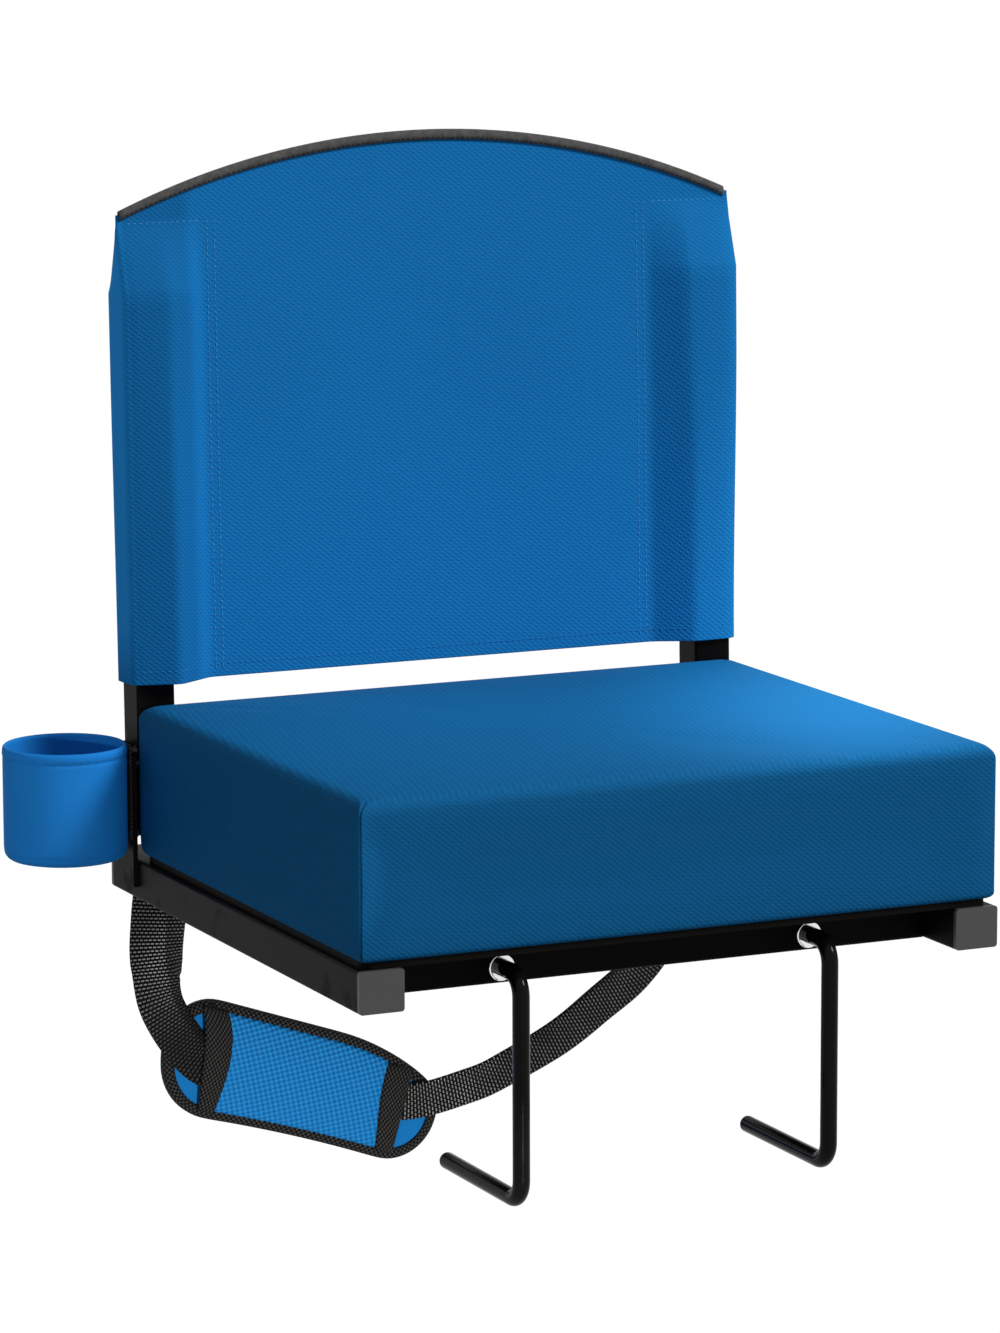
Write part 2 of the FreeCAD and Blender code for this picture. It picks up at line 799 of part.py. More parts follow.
def pad_slab(ends):
    """Block that holds the part of the tunnel between two places along the pad."""
    reach = seat_width / 2
    return box(Vector(ends[0], tunnel_front, -reach), Vector(ends[1], tunnel_rear, reach))


def pad_tunnel():
    """Cloth over the strap, turned back and sewn down along the pad's two long edges."""
    front = pad_plate(tunnel_inset, tunnel_front, tunnel_front + pad_cloth).common(pad_slab(tunnel_ends))
    inside = pad_plate(tunnel_inset + pad_cloth, tunnel_front, tunnel_rear)
    edges = pad_plate(tunnel_inset, tunnel_front, tunnel_rear).cut(inside)
    return on_pad(front.fuse(edges.common(pad_slab(tunnel_sewn))).removeSplitter())


def pad_end_band(top, bottom):
    """Slanted dark band across one end of the tunnel."""
    corners = [Vector(top, 0, band_half), Vector(top + band_width, 0, band_half),
               Vector(bottom + band_width, 0, -band_half), Vector(bottom, 0, -band_half)]
    shape = Part.Face(polygon(corners)).extrude(Vector(0, pad_cloth, 0))
    shape.translate(Vector(0, tunnel_front - pad_cloth - pad_layer_gap, 0))
    return on_pad(shape)


cup_x = -(plate_x + hanger_thickness + cup_radius)
cup_y = plate_front + plate_depth / 2


def cup_holder():
    """Sleeve with a floor and a rounded bottom edge, open at the top."""
    def at(radius, z):
        return Vector(radius, 0, z)
    top = cup_bottom + cup_height
    inside = cup_radius - cup_wall
    floor = cup_bottom + cup_wall
    near = cup_edge * (1 - math.sqrt(0.5))
    profile = Part.Wire([
        line(at(0, cup_bottom), at(cup_radius - cup_edge, cup_bottom)),
        arc(at(cup_radius - cup_edge, cup_bottom), at(cup_radius - near, cup_bottom + near),
            at(cup_radius, cup_bottom + cup_edge)),
        line(at(cup_radius, cup_bottom + cup_edge), at(cup_radius, top)),
        line(at(cup_radius, top), at(inside, top)),
        line(at(inside, top), at(inside, floor)),
        line(at(inside, floor), at(0, floor)),
        line(at(0, floor), at(0, cup_bottom)),
    ])
    shape = Part.Face(profile).revolve(Vector(), AXIS_Z, 360)
    shape.translate(Vector(cup_x, cup_y, 0))
    return shape


def cup_rivet_places():
    return [Vector(-plate_x, cup_y + cup_rivet_step, z) for z in cup_rivet_heights]


def cup_hanger():
    """Flat tab sewn to the sleeve and riveted to the left hinge plate."""
    shape = box(Vector(-plate_x - hanger_thickness, plate_front + hanger_inset, hanger_low),
                Vector(-plate_x, plate_front + plate_depth - hanger_inset, hanger_high))
    for place in cup_rivet_places():
        shape = shape.cut(cross_hole(place, cup_rivet_radius + running_gap))
    return shape


def cup_rivets():
    rivets = []
    for place in cup_rivet_places():
        outer = place - Vector(hanger_thickness, 0, 0)
        inner = place + Vector(plate_thickness, 0, 0)
        head = rod(outer, outer - Vector(cup_rivet_head_height, 0, 0), cup_rivet_head_radius)
        tail = rod(inner, inner + Vector(cup_rivet_tail, 0, 0), cup_rivet_tail_radius)
        rivets.append(head.fuse(rod(outer, inner, cup_rivet_radius)).fuse(tail).removeSplitter())
    return rivets


def left_hinge_plate():
    shape = mirrored(hinge_plate())
    for place in cup_rivet_places():
        shape = shape.cut(cross_hole(place, cup_rivet_radius + running_gap))
    return shape


os.makedirs("parts", exist_ok=True)

save_pair("runner", runner())
save_pair("front_cap", runner_cap(False))
save_pair("rear_cap", runner_cap(True))
save("front_rail", front_rail())
save("rear_rail", rear_rail())
save("seat_board", seat_board())
save("board_screws", both_sides([countersunk_screw(place) for place in screw_places()]))
save("seat_foam", seat_foam())
save("seat_cover", seat_cover())

save("right_hinge_plate", hinge_plate())
save("left_hinge_plate", left_hinge_plate())
save("hinge_rivets", both_sides([flush_rivet(place) for place in rivet_places()]))
save("pivot_bolts", both_sides([pivot_bolt()]))
save("pivot_washers", both_sides([pivot_washer()]))
save("pivot_nuts", both_sides([pivot_nut()]))

save_pair("back_tube", back_tube())
save("back_top_plugs", both_sides([back_plug(True)]))
save("back_foot_plugs", both_sides([back_plug(False)]))
save("guide_pins", both_sides([guide_pin()]))
save("back_cross_tube", cross_tube())
save("back_panel", back_panel())
save("back_top_binding", back_top_binding())

for side, x in (("left", -hook_x), ("right", hook_x)):
    save(side + "_hook", hook(x))
    save(side + "_hook_washer", hook_washer(x))
    save(side + "_hook_nut", hook_nut(x))

save("shoulder_strap", shoulder_strap())
save("strap_washers", both_sides([strap_washer()]))
save("strap_screws", both_sides([strap_screw()]))
save("shoulder_pad", shoulder_pad())
save("pad_binding", pad_binding())
save("pad_tunnel", pad_tunnel())
save("pad_end_bands", Part.makeCompound([pad_end_band(top, bottom) for top, bottom in band_places]))

save("cup_holder", cup_holder())
save("cup_hanger", cup_hanger())
save("cup_rivets", Part.makeCompound(cup_rivets()))
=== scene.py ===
import bpy
import math
from mathutils import Matrix, Vector


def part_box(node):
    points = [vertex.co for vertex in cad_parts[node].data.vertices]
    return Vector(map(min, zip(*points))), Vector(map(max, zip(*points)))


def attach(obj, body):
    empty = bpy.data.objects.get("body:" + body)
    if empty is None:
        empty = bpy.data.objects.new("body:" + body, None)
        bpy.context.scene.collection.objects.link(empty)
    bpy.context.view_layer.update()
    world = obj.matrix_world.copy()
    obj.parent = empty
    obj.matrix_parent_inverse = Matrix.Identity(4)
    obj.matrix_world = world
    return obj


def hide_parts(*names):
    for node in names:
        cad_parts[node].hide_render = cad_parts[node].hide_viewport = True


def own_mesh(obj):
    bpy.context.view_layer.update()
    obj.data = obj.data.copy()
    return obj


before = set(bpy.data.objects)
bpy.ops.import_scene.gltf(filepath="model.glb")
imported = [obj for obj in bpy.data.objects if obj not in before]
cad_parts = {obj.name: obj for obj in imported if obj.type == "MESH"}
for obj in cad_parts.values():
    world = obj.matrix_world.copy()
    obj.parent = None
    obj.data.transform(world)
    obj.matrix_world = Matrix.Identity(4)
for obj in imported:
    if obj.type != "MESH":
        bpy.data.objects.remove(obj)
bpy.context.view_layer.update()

# Frame tubes, rails and hinge brackets.
# Square and rectangular steel tube, welded, with riveted steel brackets,
# all powder coated in satin black with a faint orange-peel surface.


class Value:
    """One shader socket: arithmetic on it adds Math nodes to its finish."""

    def __init__(self, finish, socket):
        self.finish = finish
        self.socket = socket

    def math(self, operation, *others):
        return self.finish.node("ShaderNodeMath", {"operation": operation}, dict(enumerate((self, *others))))

    def __add__(self, other):
        return self.math("ADD", other)

    def __sub__(self, other):
        return self.math("SUBTRACT", other)

    def __rsub__(self, other):
        return self.finish.node("ShaderNodeMath", {"operation": "SUBTRACT"}, {0: other, 1: self})

    def __mul__(self, other):
        return self.math("MULTIPLY", other)

    def __truediv__(self, other):
        return self.math("DIVIDE", other)

    __radd__ = __add__
    __rmul__ = __mul__

    def wave(self):
        return self.math("SINE")

    def part(self):
        return self.math("FRACT")

    def whole(self):
        return self.math("FLOOR")

    def above(self, low, high):
        """0 below low, 1 above high, smooth between."""
        settings = {"interpolation_type": "SMOOTHSTEP"}
        return self.finish.node("ShaderNodeMapRange", settings, {0: self, 1: low, 2: high, 3: 0.0, 4: 1.0})


class Finish:
    """A material with one Principled surface, or the surround when a world is given."""

    def __init__(self, name, world=None):
        self.material = world or bpy.data.materials.new(name)
        self.material.use_nodes = True
        self.tree = self.material.node_tree
        self.surface = self.tree.nodes["Background" if world else "Principled BSDF"]

    def node(self, kind, settings=None, sockets=None, output=0):
        node = self.tree.nodes.new(kind)
        for key, value in (settings or {}).items():
            setattr(node, key, value)
        for key, value in (sockets or {}).items():
            self.put(node.inputs[key], value)
        return Value(self, node.outputs[output])

    def put(self, socket, value):
        if isinstance(value, Value):
            self.tree.links.new(value.socket, socket)
        else:
            socket.default_value = value

    def set(self, **sockets):
        for name, value in sockets.items():
            self.put(self.surface.inputs[name.replace("_", " ")], value)

    def place(self):
        """Position on the piece, in metres."""
        return self.node("ShaderNodeTexCoord", output=3)

    def cloth_place(self):
        """Position across and along the cloth, in metres."""
        spot = self.node("ShaderNodeUVMap", {"uv_map": "cloth"})
        return [self.node("ShaderNodeSeparateXYZ", {}, {0: spot}, output) for output in (0, 1)]

    def noise(self, scale, detail=2.0, stretch=None):
        place = self.place()
        if stretch:
            place = self.node("ShaderNodeVectorMath", {"operation": "MULTIPLY"}, {0: place, 1: stretch})
        return self.node("ShaderNodeTexNoise", {}, {"Vector": place, "Scale": scale, "Detail": detail})

    def mix(self, factor, first, second):
        return self.node("ShaderNodeMix", {"data_type": "RGBA"}, {0: factor, 6: first, 7: second}, 2)

    def bump(self, height, depth):
        return self.node("ShaderNodeBump", {}, {"Strength": 1.0, "Distance": depth, "Height": height})


def tone(red, green, blue):
    return (red, green, blue, 1.0)


def grey(level):
    return tone(level, level, level)


def paint_nodes(finish, *names):
    for name in names:
        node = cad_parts[name]
        node.data.materials.clear()
        node.data.materials.append(finish.material)


powder_coat = Finish("black_powder_coat")
scuff = powder_coat.noise(46.0, 4.0).above(0.56, 0.74)
peel = powder_coat.noise(650.0, 1.0)
powder_coat.set(
    Base_Color=powder_coat.mix(scuff * 0.5, tone(0.003, 0.003, 0.0032), tone(0.009, 0.009, 0.0093)),
    Roughness=0.46 + scuff * 0.16,
    Normal=powder_coat.bump(peel, 0.00004),
    Specular_IOR_Level=0.03,
)
paint_nodes(powder_coat, "left_runner", "right_runner", "front_rail", "rear_rail", "back_cross_tube",
            "left_back_tube", "right_back_tube", "left_hinge_plate", "right_hinge_plate", "hinge_rivets")

# End caps and plugs.
# Injection moulded polypropylene, pushed into the open tube ends:
# dark grey on the runners, black in the back tubes, with a fine spark-eroded grain.

cap_plastic = Finish("grey_cap_plastic")
grain = cap_plastic.noise(1500.0, 2.0)
handling = cap_plastic.noise(60.0, 3.0).above(0.5, 0.75)
cap_plastic.set(
    Base_Color=cap_plastic.mix(handling * 0.4, tone(0.041, 0.041, 0.042), tone(0.052, 0.052, 0.053)),
    Roughness=0.52 + handling * 0.12,
    Normal=cap_plastic.bump(grain, 0.00005),
)
paint_nodes(cap_plastic, "left_front_cap", "right_front_cap", "left_rear_cap", "right_rear_cap")


def one_grain(name, noise, dark, light, roughness, depth, **fixed):
    """Finish whose tone, roughness (low, span) and relief all follow one noise."""
    finish = Finish(name)
    grain = finish.noise(*noise)
    finish.set(
        Base_Color=finish.mix(grain, dark, light),
        Roughness=roughness[0] + grain * roughness[1],
        Normal=finish.bump(grain, depth),
        **fixed,
    )
    return finish


plug_plastic = one_grain("black_plug_plastic", (1500.0, 2.0), grey(0.011), grey(0.02), (0.55, 0.1), 0.00005)
paint_nodes(plug_plastic, "back_top_plugs", "back_foot_plugs")

# Seat board.
# Thin ply stained black, screwed down onto both runners from above;
# only its edge shows, as a dark line under the cushion.

wood_figure = (24.0, 5.0, (1.0, 9.0, 30.0))
board_stain = one_grain("black_stained_ply", wood_figure, tone(0.002, 0.0019, 0.0018),
                        tone(0.006, 0.0052, 0.0045), (0.6, 0.15), 0.00015, Specular_IOR_Level=0.04)
paint_nodes(board_stain, "seat_board")

# Screws, rivets, pins and bolts.
# Zinc plated steel, turned and headed, with a brushed sheen. The pivot bolts are black
# oxide, with natural nylon washers between plate and tube.

brushing = (420.0, 3.0, (1.0, 1.0, 6.0))
zinc = one_grain("zinc_plated_steel", brushing, tone(0.5, 0.5, 0.49), tone(0.68, 0.68, 0.66),
                 (0.24, 0.2), 0.00002, Metallic=1.0)
paint_nodes(zinc, "board_screws", "pivot_nuts", "guide_pins", "strap_screws", "strap_washers",
            "left_hook_nut", "right_hook_nut")

dull_zinc = one_grain("dull_zinc_rivet", (600.0, 3.0), tone(0.05, 0.05, 0.048), tone(0.11, 0.11, 0.105),
                      (0.22, 0.15), 0.00003, Metallic=1.0)
paint_nodes(dull_zinc, "cup_rivets")
black_oxide = one_grain("black_oxide_steel", (220.0, 3.0), grey(0.008), tone(0.018, 0.018, 0.017),
                        (0.35, 0.15), 0.00003)
paint_nodes(black_oxide, "pivot_bolts")
nylon = one_grain("natural_nylon", (300.0, 2.0), tone(0.6, 0.59, 0.54), tone(0.7, 0.69, 0.64),
                  (0.45, 0.1), 0.00003)
paint_nodes(nylon, "pivot_washers")

# Bench hooks.
# Round steel rods bent twice and dipped in gloss black,
# each turning in the front rail behind a polished chrome washer.

hook_gloss = one_grain("gloss_black_rod", (90.0, 2.0), grey(0.003), grey(0.006), (0.08, 0.08), 0.00006,
                       Specular_IOR_Level=0.06)
paint_nodes(hook_gloss, "left_hook", "right_hook")
chrome = one_grain("chrome_washer", (500.0, 2.0), grey(0.74), grey(0.82), (0.06, 0.08), 0.00001,
                   Metallic=1.0)
paint_nodes(chrome, "left_hook_washer", "right_hook_washer")

# Seat cushion.
# A block of firm foam in a boxed cover of coated blue twill, sewn up at the four corners
# and stapled under the board; a cloth simulation swells the panels between the seams.


def blue_twill(name, deep, bright, painted_shade=None):
    """Coated twill of short slanting floats, with painted shade: darkened by a share between two soft edges
    in x.
    """
    finish = Finish(name)
    across, along = finish.cloth_place()
    turn = 2 * math.pi / twill_pitch
    wander = finish.noise(35.0, 2.0) * 2.2
    line = (across * (turn * 0.62) + along * (turn * 0.78) + wander).wave()
    dash = (across * (turn * 0.52) - along * (turn * 0.42) + wander).wave()
    thread = line * 0.45 + line * dash * 0.35 + 0.5
    shade = finish.noise(9.0, 3.0)
    rub = finish.noise(2200.0, 1.0)
    weave = thread * 0.6 + shade * 0.2 + rub * 0.2
    colour = finish.mix(weave, tone(*deep), tone(*bright))
    # Painted shade: a darker copy of the twill laid over a band in x.
    if painted_shade:
        share, left_edge, right_edge = painted_shade
        shaded_deep, shaded_bright = ([share * part for part in shown] for shown in (deep, bright))
        dull = finish.mix(weave, tone(*shaded_deep), tone(*shaded_bright))
        spot = finish.node("ShaderNodeSeparateXYZ", {}, {0: finish.place()})
        within = spot.above(*left_edge) * (1.0 - spot.above(*right_edge))
        colour = finish.mix(within, colour, dull)
    finish.set(
        Base_Color=colour,
        Roughness=0.7 + thread * 0.12,
        Normal=finish.bump(thread + rub * 0.6, 0.00012),
        Specular_IOR_Level=0.03,
    )
    return finish


def grid_faces(columns, rows, closed=False):
    """Quads over points laid row after row; closed joins the last column to the first."""
    faces = []
    for row in range(rows - 1):
        low, high = row * columns, (row + 1) * columns
        for column in range(columns if closed else columns - 1):
            beside = (column + 1) % columns
            faces.append((low + column, low + beside, high + beside, high + column))
    return faces


def capped_faces(columns, rows):
    """Closed rings of quads, with one face over the first ring and one over the last."""
    caps = [tuple(reversed(range(columns))), tuple(range((rows - 1) * columns, rows * columns))]
    return grid_faces(columns, rows, True) + caps


def add_piece(name, points, faces, body, finish, cloth=None):
    """Mesh from points and faces, riding on a body. cloth gives each point its place on the cloth."""
    mesh = bpy.data.meshes.new(name)
    mesh.from_pydata(points, [], faces)
    if cloth:
        layer = mesh.uv_layers.new(name="cloth")
        for loop in mesh.loops:
            layer.data[loop.index].uv = cloth[loop.vertex_index]
    mesh.polygons.foreach_set("use_smooth", [True] * len(mesh.polygons))
    mesh.materials.append(finish.material)
    piece = bpy.data.objects.new(name, mesh)
    bpy.context.collection.objects.link(piece)
    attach(piece, body)
    return piece


cushion_half = 0.2058
cushion_front, cushion_rear = -0.0492, 0.2935
cushion_low, cushion_high = 0.0292, 0.1227
cushion_crown, crown_power = 0.0006, 2.2
side_swell = 0.0003
edge_round = 0.009
base_round = 0.0035
rear_round = 0.010
corner_round = 0.0018
seam_dip = 0.0016
twill_pitch = 0.0025
seat_cloth = blue_twill("seat_twill", (0.0046, 0.09, 0.235), (0.0068, 0.125, 0.322))


def cushion_ring(inset, swell, rear_inset):
    """Plan of the cushion drawn in by inset, as (x, y, seam share), seams at its four corners."""
    half_x = cushion_half - inset
    middle = (cushion_front + cushion_rear - rear_inset) / 2
    half_y = (cushion_rear - rear_inset - cushion_front) / 2 - inset
    radius = corner_round + 0.75 * inset
    ring = []
    steps, runs = 8, 26
    signs = ((1, 1), (-1, 1), (-1, -1), (1, -1))
    for quarter in range(4):
        turn = quarter * math.pi / 2
        cx, cy = signs[quarter]
        for step in range(steps + 1):
            angle = turn + step / steps * math.pi / 2
            dip = max(0.0, 1 - abs(step - steps / 2) / 2)
            reach = radius - seam_dip * dip
            ring.append((cx * (half_x - radius) + reach * math.cos(angle),
                         middle + cy * (half_y - radius) + reach * math.sin(angle), dip))
        start = ring[-1]
        nx, ny = signs[(quarter + 1) % 4]
        along_x = quarter % 2 == 0
        end = (nx * (half_x - radius), start[1]) if along_x else (start[0], middle + ny * (half_y - radius))
        for step in range(1, runs):
            share = step / runs
            out = swell * math.sin(math.pi * share)
            x = start[0] + (end[0] - start[0]) * share
            y = start[1] + (end[1] - start[1]) * share
            if along_x:
                y += out if y > middle else -out
            else:
                x += out if x > 0 else -out
            ring.append((x, y, 0.0))
    return ring


def cushion_sides():
    """Rings from the cushion's rounded base up its sides to its rounded top edge."""
    levels = []
    base_steps, side_steps, edge_steps = 4, 24, 8
    for step in range(base_steps + 1):
        angle = step / base_steps * math.pi / 2
        inset, rise = base_round * (1 - math.sin(angle)), base_round * (1 - math.cos(angle))
        levels.append((inset, cushion_low + rise, 0.0))
    side_low, side_high = cushion_low + base_round, cushion_high - edge_round
    for step in range(1, side_steps):
        share = step / side_steps
        z = side_low + (side_high - side_low) * share
        levels.append((0.0, z, side_swell * math.sin(math.pi * share)))
    for step in range(edge_steps + 1):
        angle = step / edge_steps * math.pi / 2
        levels.append((edge_round * (1 - math.cos(angle)), side_high + edge_round * math.sin(angle), 0.0))
    rings = []
    for inset, z, swell in levels:
        short = max(rear_round - (z - cushion_low), 0.0)
        rear_inset = rear_round - math.sqrt(rear_round ** 2 - short ** 2)
        rings.append([Vector((x, y, z)) for x, y, _ in cushion_ring(inset, swell, rear_inset)])
    return rings


def drawn_in(ring, share, rise):
    """A ring shrunk to a share of its size about the cushion's middle, and lifted."""
    middle = (cushion_front + cushion_rear) / 2
    return [Vector((p.x * share, middle + (p.y - middle) * share, p.z + rise)) for p in ring]


sides = cushion_sides()
under = [drawn_in(sides[0], share, 0.0) for share in (0.08, 0.5)]
crown = [drawn_in(sides[-1], share, cushion_crown * (1 - share ** crown_power))
         for share in (0.94, 0.86, 0.75, 0.62, 0.48, 0.34, 0.2, 0.08)]
rings = under + sides + crown
columns = len(rings[0])
points = [p for ring in rings for p in ring]
faces = capped_faces(columns, len(rings))
cushion = add_piece("seat_cushion", points, faces, "seat", seat_cloth)


def inflate(piece, held, pressure, frames, limit):
    """Swell a cushion by cloth simulation, held at some points and nowhere moved past the limit."""
    start = [vertex.co.copy() for vertex in piece.data.vertices]
    piece.vertex_groups.new(name="held").add(held, 1.0, "REPLACE")
    air = piece.modifiers.new("air", "CLOTH")
    air.settings.vertex_group_mass = "held"
    air.settings.use_pressure = True
    air.settings.uniform_pressure_force = pressure
    air.settings.effector_weights.gravity = 0.0
    for frame_number in range(1, frames + 1):
        bpy.context.scene.frame_set(frame_number)
    swollen = piece.evaluated_get(bpy.context.evaluated_depsgraph_get())
    shifts = [vertex.co - place for vertex, place in zip(swollen.data.vertices, start)]
    piece.modifiers.remove(air)
    piece.vertex_groups.clear()
    bpy.context.scene.frame_set(1)
    for vertex, shift in zip(piece.data.vertices, shifts):
        vertex.co += shift.normalized() * limit * math.tanh(shift.length / limit)


sewn_columns = [i for i, (_, _, dip) in enumerate(cushion_ring(0.0, 0.0, 0.0)) if dip > 0]
slip = 1e-5


def is_held(index, p):
    """Whether the cover is fixed here: at its base, rear, rounded edges or corner seams."""
    at_base = p.z < cushion_low + base_round
    at_rear = p.y > cushion_rear - rear_round
    on_edge = cushion_high - edge_round - slip < p.z < cushion_high + slip
    return at_base or at_rear or on_edge or (index % columns in sewn_columns and p.z < cushion_high)


held = [i for i, p in enumerate(points) if is_held(i, p)]
inflate(cushion, held, pressure=4.0, frames=20, limit=0.0012)
top_across, top_along = Vector((0.907, -0.421)), Vector((0.074, 0.17))
side_stretch = 0.5


def cloth_by_facing(piece):
    """Lay the cloth on a boxed form: the twill runs steep on the top panel and long on the sides."""
    mesh = piece.data
    layer = mesh.uv_layers.new(name="cloth")
    for face in mesh.polygons:
        size = [abs(n) for n in face.normal]
        for index in face.loop_indices:
            p = mesh.vertices[mesh.loops[index].vertex_index].co
            if size[2] >= max(size[0], size[1]):
                layer.data[index].uv = (top_across.dot(p.xy), top_along.dot(p.xy))
            elif size[1] >= size[0]:
                layer.data[index].uv = (p.x, p.z)
            else:
                layer.data[index].uv = (side_stretch * p.y, p.z)


cloth_by_facing(cushion)
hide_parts("seat_cover", "seat_foam")
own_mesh(cushion)

# Back panel.
# One piece of the same twill, coloured lighter than the seat's as painted light, folded round both
# back tubes and sewn down to itself in double rows; flat and arched above the tubes, with painted
# shade darkening the cloth over the left one.

pivot = Vector((0, 0.307, 0.110))
recline = math.radians(1.5)
back_place = Matrix.Translation(pivot) @ Matrix.Rotation(-recline, 4, "X")
# Painted shade: the twill over the left tube is darkened to a 0.8 share between these edges.
left_pocket_shade = (0.8, (-0.2065, -0.2045), (-0.168, -0.158))
# The back twill is a lighter copy of the seat twill: painted light.
back_cloth = blue_twill("back_twill_painted_lighter", (0.008, 0.162, 0.442), (0.0115, 0.216, 0.586), left_pocket_shade)
tube_in, tube_half = 0.1805, 0.0125
panel_y, rear_y = -0.0033, -0.0019
hem_z, tube_top = 0.0245, 0.265
arch_half, arch_low, arch_high = 0.2071, 0.316, 0.359
arch_radius = (arch_half ** 2 + (arch_high - arch_low) ** 2) / (2 * (arch_high - arch_low))


def arch_z(x, drop=0.0):
    """Height of the arched top edge above the pivot at x."""
    return arch_high - arch_radius + math.sqrt(max((arch_radius - drop) ** 2 - x * x, 0.0))


def eased(share):
    share = min(max(share, 0.0), 1.0)
    return share * share * (3 - 2 * share)


def rounded_route(corners, step):
    """Points along a line through (x, y, radius) corners, each corner eased over its radius."""
    spots = [Vector(corner[:2]) for corner in corners]
    legs = [spots[0]]
    for before, corner, after, (_, _, radius) in zip(spots, spots[1:], spots[2:], corners[1:]):
        into = corner + (before - corner).normalized() * min(radius, (before - corner).length / 2)
        out = corner + (after - corner).normalized() * min(radius, (after - corner).length / 2)
        for share in (0.0, 0.25, 0.5, 0.75, 1.0):
            legs.append(into.lerp(corner, share).lerp(corner.lerp(out, share), share))
    legs.append(spots[-1])
    points = [legs[0]]
    for a, b in zip(legs, legs[1:]):
        count = max(1, round((b - a).length / step))
        points.extend(a.lerp(b, (i + 1) / count) for i in range(count))
    return points


cloth_gap = 0.0018
tube_skin = -tube_half - cloth_gap
sewn_x, flap_x = 0.1535, 0.139


def panel_half(ridge, front_corner):
    """Line of the cloth from the middle of the back round one tube: (x, y, lies behind the tube)."""
    outer = front_corner[0]
    corners = [(0, panel_y, 0), (sewn_x, panel_y, 0.0035), ridge, front_corner, (outer, -tube_skin, 0.0055),
               (tube_in + 0.0005, -tube_skin, 0.0055), (sewn_x, rear_y, 0.0035), (flap_x, rear_y, 0)]
    line = rounded_route(corners, step=0.005)
    widest = max(range(len(line)), key=lambda i: line[i].x + line[i].y * 0.001)
    return [(p.x, p.y, i > widest) for i, p in enumerate(line)]


def sway(x, z):
    """How far the slack cloth hangs back from its plane."""
    deepest, waves, shift, height = 0.0007, 31, 0.6, 0.3
    return deepest * math.sin(waves * x + shift) * math.sin(math.pi * eased((z - hem_z) / height))


def run_lengths(line):
    """Distance of each point of a line from its start."""
    lengths = [0.0]
    for a, b in zip(line, line[1:]):
        lengths.append(lengths[-1] + math.dist(a, b))
    return lengths


def thicken(piece, thickness):
    """Give one layer of cloth its thickness, half to each side."""
    layer = piece.modifiers.new("cloth", "SOLIDIFY")
    layer.thickness = thickness
    layer.offset = 0.0


left_half = panel_half((0.180, -0.0225, 0.004), (0.2085, -0.0130, 0.004))
right_half = panel_half((0.1785, -0.0158, 0.003), (0.2098, -0.0143, 0.011))
route = [(-x, y, behind) for x, y, behind in reversed(left_half)] + right_half[1:]
slit_low, slit_high, pocket_top = 0.0425, 0.0665, 0.308
slit_in, slit_out = 0.153, 0.1815
levels = [hem_z, hem_z + 0.0006, 0.0335, slit_low, 0.0545]
levels += [slit_high + (tube_top - slit_high) * i / 24 for i in range(25)]
levels += [tube_top + (pocket_top + 0.002 - tube_top) * i / 12 for i in range(1, 13)]
top_rows = 7
rear_fall = 0.013
fade_from, slack_height = 0.124, 0.2
slack_from, slack_width = 0.165, 0.03
points, cloth = [], []
lengths = run_lengths([spot[:2] for spot in route])
for row in range(len(levels) + top_rows):
    for (x, y, behind), length in zip(route, lengths):
        if row < len(levels):
            z = levels[row]
        else:
            top = pocket_top + 0.0045 if behind else arch_z(x, 0.002)
            z = levels[-1] + (top - levels[-1]) * (row - len(levels) + 1) / top_rows
        flat = min(max((z - tube_top) / (rear_fall if behind else pocket_top - tube_top), 0.0), 1.0)
        rest = rear_y if behind else panel_y
        ridge_fade, slack_low, slack_high = (0.5, 0.0, 0.0004) if x < 0 else (0.9, 0.0006, 0.0024)
        fade = ridge_fade * eased((z - fade_from) / (tube_top - fade_from))
        y = max(y, tube_skin + (y - tube_skin) * (1 - fade))
        loose = slack_high * eased((z - hem_z) / slack_height) + slack_low
        loose *= eased((abs(x) - slack_from) / slack_width)
        wide = x + math.copysign(loose, x) * (1 - flat)
        deep = y + math.copysign(loose, y)
        deep += (rest - deep) * flat + (0 if behind else sway(x, z))
        points.append(back_place @ Vector((wide, deep, z)))
        cloth.append((length, z))
columns = len(route)
faces = []
for face in grid_faces(columns, len(levels) + top_rows):
    column, row = face[0] % columns, face[0] // columns
    x, _, behind = route[column]
    in_slit = row < len(levels) - 1 and slit_low <= levels[row] < slit_high - 0.001
    if not (in_slit and behind and slit_in < abs(x) < slit_out):
        faces.append(face)
panel = add_piece("back_cloth", points, faces, "backrest", back_cloth, cloth)
thicken(panel, 0.0011)
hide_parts("back_panel")

# Stitches of the back panel.
# Lockstitch in a lighter blue thread: double rows beside each tube, one row across the
# top of each pocket, and one along the bottom hem.


